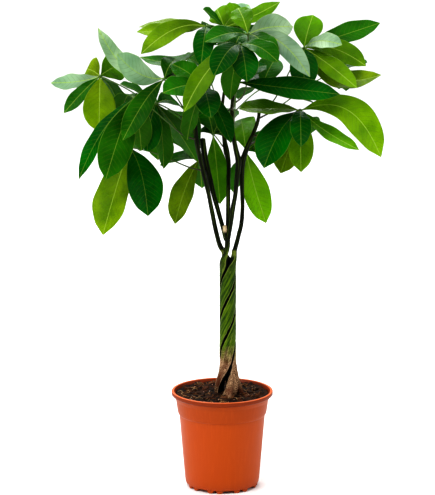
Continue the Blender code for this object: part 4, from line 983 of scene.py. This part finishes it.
class Wiring:
    """The nodes of a material or world, with short ways to add them."""

    def __init__(self, owner):
        owner.use_nodes = True
        self.owner = owner
        self.nodes = owner.node_tree.nodes
        self.links = owner.node_tree.links
        self.shader = self.nodes.get("Principled BSDF")

    def put(self, socket, value):
        if isinstance(value, bpy.types.NodeSocket):
            self.links.new(value, socket)
        elif hasattr(socket.default_value, "__len__") and len(value) < len(socket.default_value):
            socket.default_value = (*value, 1.0)
        else:
            socket.default_value = value

    def node(self, kind, inputs, output=0, **settings):
        made = self.nodes.new(kind)
        for key, value in settings.items():
            setattr(made, key, value)
        for key, value in inputs.items():
            self.put(made.inputs[key], value)
        return made.outputs[output]

    def value(self, name, output="Fac"):
        return self.node("ShaderNodeAttribute", {}, output, attribute_name=name)

    def vector(self, name):
        return self.value(name, "Vector")

    def place(self, output="Object"):
        return self.node("ShaderNodeTexCoord", {}, output)

    def part(self, vector, axis):
        return self.node("ShaderNodeSeparateXYZ", {0: vector}, axis)

    def math(self, operation, *values):
        return self.node("ShaderNodeMath", dict(enumerate(values)), operation=operation)

    def times(self, *values):
        return self.math("MULTIPLY", *values)

    def band(self, value, low, high, start=0.0, end=1.0):
        """Goes smoothly from start to end as the value goes from low to high."""
        inputs = {"Value": value, "From Min": low, "From Max": high, "To Min": start, "To Max": end}
        return self.node("ShaderNodeMapRange", inputs, interpolation_type="SMOOTHSTEP")

    def mix(self, share, first, second, blend="MIX"):
        inputs = {0: share, 6: first, 7: second}
        return self.node("ShaderNodeMix", inputs, 2, data_type="RGBA", blend_type=blend)

    def tinted(self, first, second):
        return self.mix(1.0, first, second, "MULTIPLY")

    def over(self, below, above, share, most):
        """The second colour over the first, by a share of most."""
        return self.mix(self.times(share, most), below, above)

    def noise(self, scale, detail=2.0, vector=None, roughness=0.5):
        inputs = {"Vector": vector or self.place(), "Scale": scale, "Detail": detail, "Roughness": roughness}
        return self.node("ShaderNodeTexNoise", inputs, "Fac")

    def streaks(self, vector, stretch, detail, roughness=0.5):
        """Noise that is stretched along each axis by its own measure."""
        scaled = self.node("ShaderNodeVectorMath", {0: vector, 1: stretch}, operation="MULTIPLY")
        return self.noise(1.0, detail, scaled, roughness)

    def cells(self, scale, feature="F1"):
        inputs = {"Vector": self.place(), "Scale": scale}
        return self.node("ShaderNodeTexVoronoi", inputs, "Distance", feature=feature)

    def bump(self, layers):
        """Each layer is a height and its distance in metres."""
        normal = None
        for height, distance in layers:
            inputs = {"Height": height, "Distance": distance, "Strength": 1.0}
            if normal is not None:
                inputs["Normal"] = normal
            normal = self.node("ShaderNodeBump", inputs)
        self.put(self.shader.inputs["Normal"], normal)
        return normal

    def surface(self, colour, roughness, level):
        for name, value in (("Base Color", colour), ("Roughness", roughness), ("Specular IOR Level", level)):
            self.put(self.shader.inputs[name], value)


def new_material(name):
    return Wiring(bpy.data.materials.new(name))


def leaf_material():
    wires = new_material("leaf_green")
    tint = wires.vector("tint")
    under = wires.value("under")
    across = wires.math("ABSOLUTE", wires.value("offset"))
    shift = wires.math("ABSOLUTE", wires.value("shift"))
    ripple = wires.math("SUBTRACT", wires.math("FRACT", wires.value("vein")), 0.5)
    from_vein = wires.times(wires.math("ABSOLUTE", ripple), VEIN_SPACING * MM)
    vein = wires.times(wires.band(from_vein, 0.16, 0.62, 1.0, 0.0), wires.band(shift, 0.55, 1.0, 1.0, 0.1))
    blotch = wires.band(wires.noise(22.0, 3.0), 0.30, 0.72)
    fine = wires.noise(420.0, 2.0)
    blade = wires.mix(blotch, wires.tinted(tint, (0.48, 0.58, 0.50)), wires.tinted(tint, (1.45, 1.28, 1.05)))
    # Painted light and shade: the blade darker near the hub and lighter towards its tip.
    blade = wires.tinted(blade, wires.band(wires.value("along"), 0.0, 0.8, 0.58, 1.12))
    blade = wires.over(blade, wires.tinted(tint, (1.9, 1.5, 1.0)), fine, 0.22)
    blade = wires.over(blade, (0.085, 0.210, 0.012), under, 0.35)
    blade = wires.over(blade, wires.mix(0.5, blade, (0.24, 0.44, 0.03)), vein, 0.65)
    blade = wires.over(blade, (0.30, 0.46, 0.05), wires.band(shift, 0.955, 0.995), 0.70)
    midrib = wires.band(across, 0.35, 0.95, 1.0, 0.0)
    pale = wires.band(wires.part(tint, 1), 0.10, 0.30, 0.30, 0.95)
    blade = wires.over(blade, (0.50, 0.68, 0.10), midrib, pale)
    rough = wires.math("ADD", wires.band(wires.noise(60.0), 0.3, 0.7, 0.26, 0.42), wires.times(under, 0.22))
    wires.surface(blade, rough, LEAF_SHEEN)
    net = wires.band(wires.cells(420.0, "DISTANCE_TO_EDGE"), 0.0, 0.12)
    normal = wires.bump([(fine, 0.00012), (wires.math("SUBTRACT", wires.times(net, 0.3), vein), 0.00016)])
    through = wires.mix(vein, (1.0, 1.0, 1.0), (0.55, 0.6, 0.5))
    glow = wires.tinted(wires.tinted(tint, (1.7, 1.5, 0.8)), through)
    behind = wires.node("ShaderNodeBsdfTranslucent", {"Color": glow, "Normal": normal})
    both = wires.node("ShaderNodeMixShader", {0: TRANSLUCENCE, 1: wires.shader.outputs[0], 2: behind})
    wires.put(wires.nodes["Material Output"].inputs["Surface"], both)
    return wires.owner


def stalk_material():
    wires = new_material("leaf_stalk")
    streaks = wires.streaks(wires.place(), (260.0, 260.0, 90.0), 3.0)
    # Near black towards the shoot and green towards the hub.
    hub_end = wires.mix(streaks, (0.030, 0.085, 0.010), (0.115, 0.215, 0.030))
    shoot_end = wires.mix(streaks, (0.012, 0.016, 0.006), (0.070, 0.060, 0.022))
    colour = wires.mix(wires.band(wires.value("run"), 0.0, 0.55), shoot_end, hub_end)
    wires.surface(colour, wires.band(streaks, 0.2, 0.8, 0.34, 0.52), 0.4)
    wires.bump([(streaks, 0.00015)])
    return wires.owner


def bark_material():
    """Tan and cracked near the soil, green in the twist, and near black in the shoots, partly darker bark and
    partly painted shade under the crown. Painted shade darkens the crevices between the strands, and a painted
    highlight runs along the strands' edges beside them.
    """
    wires = new_material("green_bark")
    grain = wires.vector("grain")
    crevice = wires.value("crevice")
    streak = wires.streaks(grain, (1.3, 1.3, 0.07), 4.0, 0.6)
    speck = wires.streaks(grain, (1.6, 1.6, 2.2), 3.0, 0.65)
    patch = wires.noise(34.0, 2.0)
    tan = wires.mix(wires.band(speck, 0.38, 0.62), (0.055, 0.023, 0.010), (0.46, 0.285, 0.160))
    tan = wires.mix(wires.band(patch, 0.52, 0.68), tan, (0.125, 0.045, 0.022))
    green = wires.mix(wires.band(streak, 0.38, 0.62), (0.013, 0.044, 0.0008), (0.094, 0.168, 0.0022))
    green = wires.over(green, (0.20, 0.22, 0.03), wires.band(speck, 0.62, 0.75), 0.4)
    # The shoots' near black: partly darker bark and partly painted shade under the crown.
    dark = wires.mix(wires.band(streak, 0.52, 0.70), (0.0008, 0.0012, 0.0003), (0.055, 0.095, 0.003))
    dark = wires.mix(wires.band(speck, 0.60, 0.72), dark, (0.040, 0.012, 0.005))
    wobble = wires.times(wires.math("SUBTRACT", patch, 0.5), LEVEL_WOBBLE)
    level = wires.math("ADD", wires.part(wires.place(), 2), wobble)
    colour = wires.mix(wires.band(level, *GREEN_FROM), tan, green)
    colour = wires.mix(wires.band(level, *DARK_FROM, 0.0, 0.94), colour, dark)
    # Painted highlight: a paler line along each strand's edge beside the crevices.
    rim = wires.times(wires.band(crevice, 0.02, 0.12), wires.band(crevice, 0.20, 0.45, 0.85, 0.0))
    edge = wires.mix(wires.band(level, *GREEN_FROM), (0.46, 0.30, 0.18), (0.20, 0.25, 0.04))
    colour = wires.mix(rim, colour, edge)
    # Painted shade: near black down in the crevices where the strands touch.
    colour = wires.mix(wires.band(crevice, 0.30, 0.62, 0.0, 0.98), colour, (0.0014, 0.0018, 0.0005))
    colour = wires.mix(wires.value("cut"), colour, (0.60, 0.47, 0.28))
    wires.surface(colour, wires.band(level, 0.22, 0.30, 0.80, 0.46), 0.12)
    wires.bump([(streak, 0.0006), (speck, 0.0004)])
    return wires.owner


def soil_material():
    wires = new_material("soil_and_bark")
    crumbs = wires.noise(330.0, 4.0, roughness=0.65)
    dark = wires.mix(wires.band(crumbs, 0.42, 0.74), (0.0020, 0.0010, 0.0005), (0.038, 0.015, 0.006))
    brown = wires.mix(crumbs, (0.006, 0.0025, 0.001), (0.090, 0.034, 0.012))
    earth = wires.mix(wires.band(wires.noise(40.0, 2.0), 0.42, 0.66), dark, brown)
    chip = wires.tinted(wires.vector("tint"), wires.mix(crumbs, (0.35, 0.32, 0.30), (1.5, 1.45, 1.4)))
    colour = wires.mix(wires.value("chip"), earth, chip)
    wires.surface(colour, wires.band(crumbs, 0.3, 0.7, 0.70, 0.95), 0.15)
    wires.bump([(crumbs, 0.0014), (wires.cells(480.0), 0.0007)])
    return wires.owner


def plastic_material():
    wires = new_material("terracotta_plastic")
    height = wires.part(wires.place(), 2)
    cloud = wires.noise(9.0, 3.0)
    scuff = wires.streaks(wires.place(), (70.0, 70.0, 460.0), 4.0, 0.65)
    streak = wires.streaks(wires.place(), (260.0, 260.0, 14.0), 3.0, 0.55)
    colour = wires.mix(cloud, (0.395, 0.058, 0.0004), (0.450, 0.076, 0.0008))
    # Painted shade: the pot from about the ledge up a little darker, as under the lip.
    colour = wires.tinted(colour, wires.band(height, *UPPER_BAND_PAINTED_SHADE, 1.0, 0.86))
    colour = wires.over(colour, (0.56, 0.10, 0.006), wires.band(streak, 0.45, 0.8), 0.22)
    colour = wires.over(colour, (0.58, 0.15, 0.03), wires.band(scuff, 0.66, 0.78), 0.25)
    # Painted shade: the lip, from its underside up, much darker.
    lip_foot = POT_HEIGHT - LIP_DEPTH
    lip_painted_shade = wires.band(height, lip_foot - 0.0006, lip_foot + 0.0010, 0.0, 0.62)
    colour = wires.mix(lip_painted_shade, colour, (0.130, 0.014, 0.0006))
    # Painted highlight: a pale line along the top of the rim.
    rim_painted_highlight = wires.band(height, POT_HEIGHT - 0.0014, POT_HEIGHT - 0.0003)
    colour = wires.mix(rim_painted_highlight, colour, (0.640, 0.135, 0.030))
    colour = wires.over(colour, (0.20, 0.045, 0.018), wires.band(height, 0.004, 0.030, 0.30, 0.0), cloud)
    rough = wires.math("ADD", wires.band(cloud, 0.3, 0.7, 0.36, 0.46), wires.times(scuff, 0.10))
    wires.surface(colour, rough, 0.24)
    wires.bump([(wires.noise(1500.0, 2.0), 0.00004), (streak, 0.00010)])
    return wires.owner


def floor_material():
    wires = new_material("pale_floor")
    wires.surface(wires.mix(wires.noise(1.2, 2.0), (0.86, 0.86, 0.86), (0.90, 0.90, 0.90)), 0.85, 0.1)
    return wires.owner


def sheet_faces(rows, wide):
    """The upper side, the under side and the rim of a closed sheet."""
    size = rows * wide
    faces = []
    for i in range(rows - 1):
        for a in range(i * wide, i * wide + wide - 1):
            quad = (a, a + 1, a + wide + 1, a + wide)
            faces += [quad, tuple(size + k for k in reversed(quad))]
    rim = [i * wide for i in range(rows)] + list(range(size - wide + 1, size))
    rim += [i * wide + wide - 1 for i in range(rows - 2, -1, -1)] + list(range(wide - 2, 0, -1))
    for here, after in zip(rim, rim[1:] + rim[:1]):
        faces.append((here, after, size + after, size + here))
    return faces


def fine_leaflet(blade, tone, draw):
    """One leaflet with its midrib, side veins and wavy margin, and the values for its material."""
    length = (blade[1] - blade[0]).length
    count = max(LEAST_SPANS, round(length / STATION_STEP))
    stations = [i / count for i in range(count + 1)]
    shifts = [-shift for shift in reversed(FINE_SHIFTS)] + [0.0] + list(FINE_SHIFTS)
    phase = draw.uniform(0, math.tau)
    waves = draw.uniform(*MARGIN_WAVES)
    wave = draw.uniform(*MARGIN_SHARES) * MARGIN_WAVE
    bright = 1 + draw.uniform(-TONE_SPREAD, TONE_SPREAD)
    warm = 1 + draw.uniform(-TONE_SPREAD, TONE_SPREAD)
    red, green, blue = TONES_AND_PAINTED_LIGHT[tone]
    upper = []
    lower = []
    values = {"offset": [], "shift": [], "vein": [], "along": []}
    for share, (middle, up, across, half) in zip(stations, blade_spine(*blade, stations)):
        half *= 1 - TIP_NARROWING * smooth_step(share, TIP_FROM, 1.0)
        rib = MIDRIB_RADII[0] + (MIDRIB_RADII[1] - MIDRIB_RADII[0]) * share
        for shift in shifts:
            # The quilting fades at the midrib and the margin, and it and the wave at the foot and tip
            far = abs(shift)
            offset = half * shift
            vein = (share * length - VEIN_SLANT * half * far * (1 + VEIN_CURVE * far)) / VEIN_SPACING
            ease = min(1.0, far * 6) * (1 - far**4) * min(1.0, 6 * share, 8 * (1 - share))
            quilt = -VEIN_QUILT * math.cos(math.tau * vein) * ease
            lag = MARGIN_LAG if shift < 0 else 0.0
            hem = wave * far**2 * math.sin(math.tau * waves * share + phase + lag)
            hem *= min(1.0, 5 * share, 4 * (1 - share))
            place = middle + across * offset + up * (half * BLADE_FOLD * far**FOLD_EASE + quilt + hem)
            lean = (up - across * (BLADE_FOLD * shift)).normalized()
            thick = FINE_THICKNESS + (FINE_EDGE_THICKNESS - FINE_THICKNESS) * far
            bell = rib * math.exp(-((offset / rib) ** 2))
            upper.append(place + lean * (thick / 2 - MIDRIB_GROOVE * bell))
            lower.append(place - lean * (thick / 2 + MIDRIB_RIDGE * bell))
            for entries, entry in zip(values.values(), (offset * MM, shift, vein + 0.5, share)):
                entries.append(entry)
    size = len(upper)
    faces = sheet_faces(len(stations), len(shifts))
    values = {name: entries * 2 for name, entries in values.items()}
    values["under"] = [0.0] * size + [1.0] * size
    values["tint"] = [(red * bright * warm, green * bright, blue * bright)] * (2 * size)
    first, second, third = faces[0][:3]
    facing = (upper[second] - upper[first]).cross(upper[third] - upper[second])
    if facing.dot(upper[first] - lower[first]) < 0:
        faces = [tuple(reversed(face)) for face in faces]
    return upper + lower, faces, values


def petiole_tube(route, radii):
    """The petiole, with the swelling of its joint at either end."""
    points, girths = eased(route, radii, PETIOLE_RINGS)
    swollen = []
    for index, girth in enumerate(girths):
        share = index / (len(girths) - 1)
        joints = [most * math.exp(-(((share - at) / wide) ** 2)) for most, at, wide in PETIOLE_JOINTS]
        swollen.append(girth * (PETIOLE_SLIM + sum(joints)))
    return fine_tube(points, swollen, PETIOLE_SIDES)


def make_foliage():
    materials = [leaf_material(), stalk_material()]
    draw = random.Random(SEED)
    changes = nudges()
    for number, (leaf, tones) in enumerate(zip(LEAVES, LEAF_TONES_AND_PAINTED_LIGHT), 1):
        name = f"leaf_{number:02d}"
        hub, route, radii, blades = packed_leaf(name, leaf, changes)
        piece = Piece(f"foliage_{number:02d}")
        vertices, faces, runs, _ = petiole_tube(route, radii)
        piece.add(vertices, faces, 1, run=[run / runs[-1] for run in runs])
        piece.add(*dome(hub, HUB_RADIUS * HUB_SHRINK, HUB_SQUASH, 3), 1, run=1.0)
        for blade, tone in zip(blades, tones):
            vertices, faces, values = fine_leaflet(blade, tone, draw)
            piece.add(vertices, faces, 0, **values)
        piece.finish(materials, "leaf_green", name)


def bark_relief(seed):
    """Lengthwise ridges, cracks near the soil, and rings where leaves have dropped."""

    def relief(place, out, run):
        around = out * RIDGES_AROUND
        ridge = noise.noise(Vector((around.x, around.y, run * RIDGE_LENGTH + seed)))
        spot = Vector((place.x, place.y, place.z * CRACK_STRETCH)) * BARK_GRAIN
        crack = noise.noise(spot + Vector((seed, 0, 0)))
        rough = LOW_BARK * (1 - smooth_step(place.z, *CRACKS_END))
        scar = ((run + SCAR_WOBBLE * ridge) % SCAR_SPACING) / SCAR_SPACING - 0.5
        ring = math.exp(-((scar / SCAR_WIDTH) ** 2))
        proud = ridge * (RIDGE_SHARE + rough) + crack * (CRACK_SHARE + rough)
        return proud * BARK_RELIEF + ring * SCAR_RELIEF * (0.5 + 0.5 * ridge)

    return relief


def crevice_values(vertices):
    """How near each place is to where the strands touch: the mask of the bark's painted crevice shade and edge
    highlight.
    """
    found = []
    for vertex in vertices:
        flare = 1 - smooth_step(vertex.z, FLARE_FOOT, FLARE_TOP)
        level = 1 - smooth_step(vertex.z, TAPER_FOOT, TWIST_TOP + 0.01)
        gap = math.hypot(vertex.x - TRUNK_X, vertex.y - TRUNK_Y)
        reach = TRUNK_RADIUS + (FLARE_TWIST_RADIUS * FLARE_REACH - TRUNK_RADIUS) * flare
        found.append(level * (1 - smooth_step(gap, reach * CREVICE_DEEP, reach)))
    return found


def add_stem(piece, form, cut_from=None):
    """Adds a strand, shoot or root; above cut_from it shows the pale wood of a cut."""
    vertices, faces, runs, angles = form
    grain = []
    for run, angle in zip(runs, angles):
        grain.append((math.cos(angle) * GRAIN_RADIUS, math.sin(angle) * GRAIN_RADIUS, run * GRAIN_SCALE))
    cut = 0.0
    if cut_from is not None:
        cut = [smooth_step(vertex.z, cut_from, cut_from + CUT_REACH / 2) for vertex in vertices]
    piece.add(vertices, faces, 0, grain=grain, crevice=crevice_values(vertices), cut=cut)


def make_trunks():
    materials = [bark_material()]
    names = ("left", "middle", "right")
    pieces = [Piece("bark_" + name) for name in names]
    for strand, piece in enumerate(pieces):
        rings = strand_rings(strand, FINE_SIDES, FINE_SPANS, SHOOT_RINGS)
        add_stem(piece, fine_loft(rings, bark_relief(3.1 * strand)))
    for index, name in enumerate(("back", "front")):
        add_stem(pieces[1], eased_tube(*shoot_route(name), SIDE_RINGS, bark_relief(11.0 + index)))
    places, radii = read_route(STUMP)
    add_stem(pieces[1], eased_tube(places, radii, ROOT_RINGS, bark_relief(17.0)), places[-1].z - CUT_REACH)
    for index, (strand, points, radii) in enumerate(ROOTS):
        points = [Vector(point) for point in points]
        add_stem(pieces[strand], eased_tube(points, radii, ROOT_RINGS, bark_relief(21.0 + index)))
    for piece, name in zip(pieces, names):
        piece.finish(materials, "green_bark", "trunk_" + name)


def soil_height(x, y):
    crumbs = noise.fractal(Vector((x, y, 0.0)) * CRUMB_GRAIN, *CRUMB_FRACTAL) * CRUMB_RELIEF
    return SOIL_TOP + soil_relief(x, y) * FINE_RELIEF_SHARE + crumbs


def soil_surface():
    """The fill: a crumbly top on a plain closed body inside the pot."""
    profile = soil_profile()
    rings = []
    for ring in range(1, FINE_SOIL_RINGS + 1):
        places = round_places(profile[0][0] * ring / FINE_SOIL_RINGS, FINE_SOIL_STEPS)
        rings.append([Vector((x, y, soil_height(x, y))) for x, y in places])
    for radius, height in profile[1:]:
        rings.append([Vector((x, y, height)) for x, y in round_places(radius, FINE_SOIL_STEPS)])
    return turned_form(rings, soil_height(0.0, 0.0), profile[-1][1])


def flake(size, turn, place, seed):
    """A split piece of bark: a rounded slab with a rough face."""
    work = bmesh.new()
    bmesh.ops.create_cube(work, size=1.0)
    bmesh.ops.subdivide_edges(work, edges=work.edges, cuts=3, use_grid_fill=True)
    matrix = Matrix.Translation(place) @ turn.to_4x4()

    def shaped(co):
        round_off = 1 - FLAKE_ROUNDING * max(0.0, co.length - 0.5)
        jag = noise.noise_vector(co * FLAKE_GRAIN + Vector((seed, seed * 0.3, 0))) * FLAKE_JAG
        co = Vector((co.x * round_off + jag.x, co.y * round_off + jag.y, co.z * round_off + jag.z))
        return matrix @ Vector((co.x * size[0], co.y * size[1], co.z * size[2]))

    return form_of(work, shaped)


def litter_place(draw, reach):
    """A place on the soil, clear of the trunk's foot."""
    while True:
        radius = reach * math.sqrt(draw.random())
        angle = draw.uniform(0, math.tau)
        x, y = radius * math.cos(angle), radius * math.sin(angle)
        if math.hypot(x - TRUNK_X, y - TRUNK_Y) > LITTER_CLEAR:
            return x, y


def fibre_route(draw):
    """A bent thread that lies on the soil, cut off where it would reach the pot."""
    x, y = litter_place(draw, LITTER_REACH)
    heading = draw.uniform(0, math.tau)
    length = draw.uniform(*FIBRE_LENGTHS)
    bend = draw.uniform(-FIBRE_BEND, FIBRE_BEND)
    route = []
    for step in range(FIBRE_POINTS):
        share = step / (FIBRE_POINTS - 1) - 0.5
        px = x + math.cos(heading + bend * share) * length * share
        py = y + math.sin(heading + bend * share) * length * share
        if math.hypot(px, py) > FIBRE_LIMIT:
            break
        arch = FIBRE_ARCH * (1 - 4 * share * share) * draw.uniform(0.4, 1.0)
        route.append(Vector((px, py, soil_height(px, py) + FIBRE_CLEAR + arch)))
    return route


def make_soil():
    draw = random.Random(SEED)
    materials = [soil_material()]
    fill = Piece("soil_fill")
    fill.add(*soil_surface(), 0, chip=0.0, tint=(0.0, 0.0, 0.0))
    for index in range(CHIP_COUNT):
        radius = draw.uniform(*CHIP_PLACES)
        angle = index * GOLDEN_ANGLE
        size = (draw.uniform(*CHIP_LENGTHS), draw.uniform(*CHIP_WIDTHS), CHIP_HEIGHT)
        turn = Matrix.Rotation(draw.uniform(-CHIP_TILT, CHIP_TILT), 3, "X")
        turn = Matrix.Rotation(draw.uniform(-CHIP_TILT, CHIP_TILT), 3, "Y") @ turn
        turn = Matrix.Rotation(draw.uniform(0, math.pi), 3, "Z") @ turn
        place = Vector((radius * math.cos(angle), radius * math.sin(angle), SOIL_TOP - CHIP_SINK))
        fill.add(*flake(size, turn, place, index * 1.7), 0, chip=1.0, tint=CHIP_TINTS[index % 4])
    fill.finish(materials, "soil_and_bark", "soil")
    draw = random.Random(SEED + 1)
    litter = Piece("soil_litter")
    for index in range(SMALL_CHIPS):
        x, y = litter_place(draw, SMALL_CHIP_REACH)
        size = [draw.uniform(*limits) for limits in SMALL_CHIP_SIZES]
        turn = Matrix.Rotation(draw.uniform(0, math.pi), 3, "Z")
        turn = turn @ Matrix.Rotation(draw.uniform(-SMALL_CHIP_TILT, SMALL_CHIP_TILT), 3, "X")
        place = Vector((x, y, soil_height(x, y) + size[2] * 0.2))
        litter.add(*flake(size, turn, place, 40 + index * 0.9), 0, chip=1.0, tint=draw.choice(CHIP_TINTS))
    for _ in range(FIBRES):
        route = fibre_route(draw)
        if len(route) >= FIBRE_LEAST_POINTS:
            thick = draw.uniform(*FIBRE_RADII)
            form = fine_tube(route, [thick] * len(route), 6)[:2]
            litter.add(*form, 0, chip=1.0, tint=draw.choice(FIBRE_TINTS))
    litter.finish(materials, "soil_and_bark")
    grit = Piece("soil_grit")
    for _ in range(GRITS):
        x, y = litter_place(draw, LITTER_REACH)
        radius = draw.uniform(*GRIT_RADII)
        form = dome(Vector((x, y, soil_height(x, y) + radius * 0.4)), radius, 0.8, 2)
        grit.add(*form, 0, chip=1.0, tint=draw.choice(GRIT_TINTS))
    grit.finish(materials, "soil_and_bark")


def foot_mesh(angle):
    work = rod(FOOT_RADIUS, FOOT_OUTER - FOOT_INNER, FOOT_FINE_SIDES)
    rim = [edge for edge in work.edges if abs(edge.verts[0].co.z - edge.verts[1].co.z) < FOOT_LEVEL]
    bmesh.ops.bevel(work, geom=rim, offset=FOOT_BEVEL, segments=3, profile=0.5, affect="EDGES")
    work.transform(Matrix.Rotation(math.pi / 2, 4, "Y") @ Matrix.Rotation(math.pi / FOOT_FINE_SIDES, 4, "Z"))
    flat = FOOT_RADIUS * math.cos(math.pi / FOOT_SIDES)
    for vertex in work.verts:
        vertex.co.x += (FOOT_INNER + FOOT_OUTER) / 2
        vertex.co.z = min(max(vertex.co.z + flat, 0.0), FOOT_TOP)
    work.transform(Matrix.Rotation(angle, 4, "Z"))
    return mesh_of("foot", work)


def make_pot():
    profile = rounded(pot_profile())
    rings = []
    for radius, height in profile[1:-1]:
        rings.append([Vector((x, y, height)) for x, y in round_places(radius, FINE_POT_STEPS)])
    wall = bpy.data.meshes.new("pot_shell")
    vertices, faces = turned_form(rings, profile[0][1], profile[-1][1])
    wall.from_pydata([tuple(vertex) for vertex in vertices], [], faces)
    feet = []
    drains = []
    for pair in range(FOOT_PAIRS):
        centre = FOOT_PAIR_START + pair * math.tau / FOOT_PAIRS - math.pi / 2
        feet += [foot_mesh(centre + side * FOOT_HALF_SPREAD) for side in (-1, 1)]
        angle = centre + math.pi / FOOT_PAIRS
        work = rod(DRAIN_RADIUS, DRAIN_DEPTH, DRAIN_SIDES)
        place = (DRAIN_PLACE * math.cos(angle), DRAIN_PLACE * math.sin(angle), FLOOR_TOP)
        work.transform(Matrix.Translation(place))
        drains.append(mesh_of("drain", work))
    wall = boolean(boolean(wall, feet, "UNION"), drains, "DIFFERENCE")
    obj = finish_mesh("pot_shell", wall, [plastic_material()], "terracotta_plastic", "pot")
    obj.data.set_sharp_from_angle(angle=POT_SHARP)


def make_floor():
    mesh = bpy.data.meshes.new("floor")
    corners = [(x * FLOOR_REACH, y * FLOOR_REACH, 0) for x, y in ((-1, -1), (1, -1), (1, 1), (-1, 1))]
    mesh.from_pydata(corners, [], [(0, 1, 2, 3)])
    mesh.materials.append(floor_material())
    add_object("floor", mesh)


def make_world():
    """A dome that is brightest overhead, and plain white where the camera looks past the floor."""
    world = bpy.data.worlds.new("studio")
    bpy.context.scene.world = world
    wires = Wiring(world)
    dome_light = wires.band(wires.part(wires.place("Generated"), 2), *DOME_HEIGHTS, *DOME_STRENGTHS)
    to_camera = wires.node("ShaderNodeLightPath", {}, "Is Camera Ray")
    shade = wires.nodes["Background"]
    wires.put(shade.inputs["Strength"], wires.node("ShaderNodeMix", {0: to_camera, 2: dome_light, 3: 1.0}))
    shade.inputs["Color"].default_value = (1.0, 1.0, 1.0, 1.0)


def make_lights():
    for index, (place, size, power, aim) in enumerate(LAMPS):
        lamp = bpy.data.lights.new(f"softbox_{index + 1}", "AREA")
        lamp.shape = "RECTANGLE"
        lamp.size, lamp.size_y = size
        lamp.energy = power
        obj = add_object(lamp.name, lamp)
        obj.location = Vector(place) + SHIFT
        obj.rotation_euler = (Vector((0, 0, aim)) - Vector(place)).to_track_quat("-Z", "Y").to_euler()
    sun = bpy.data.lights.new("key", "SUN")
    sun.energy = SUN_STRENGTH
    sun.angle = SUN_ANGLE
    add_object("key", sun).rotation_euler = SUN_TURN


def make_camera():
    camera = bpy.data.cameras.new("camera")
    camera.sensor_width = SENSOR_WIDTH
    camera.lens = VIEW_FOCAL * SENSOR_WIDTH / PICTURE_HEIGHT
    camera.clip_end = 200.0
    obj = add_object("camera", camera)
    obj.location = SHIFT + Vector((VIEW_SIDE, -VIEW_DISTANCE, VIEW_HEIGHT))
    obj.rotation_euler = (math.pi / 2 - VIEW_TILT, 0.0, 0.0)
    bpy.context.scene.camera = obj


make_camera()
make_floor()
make_world()
make_lights()
make_pot()
make_soil()
make_trunks()
make_foliage()
settings = bpy.context.scene.view_settings
settings.view_transform = "Standard"
settings.look = "High Contrast"
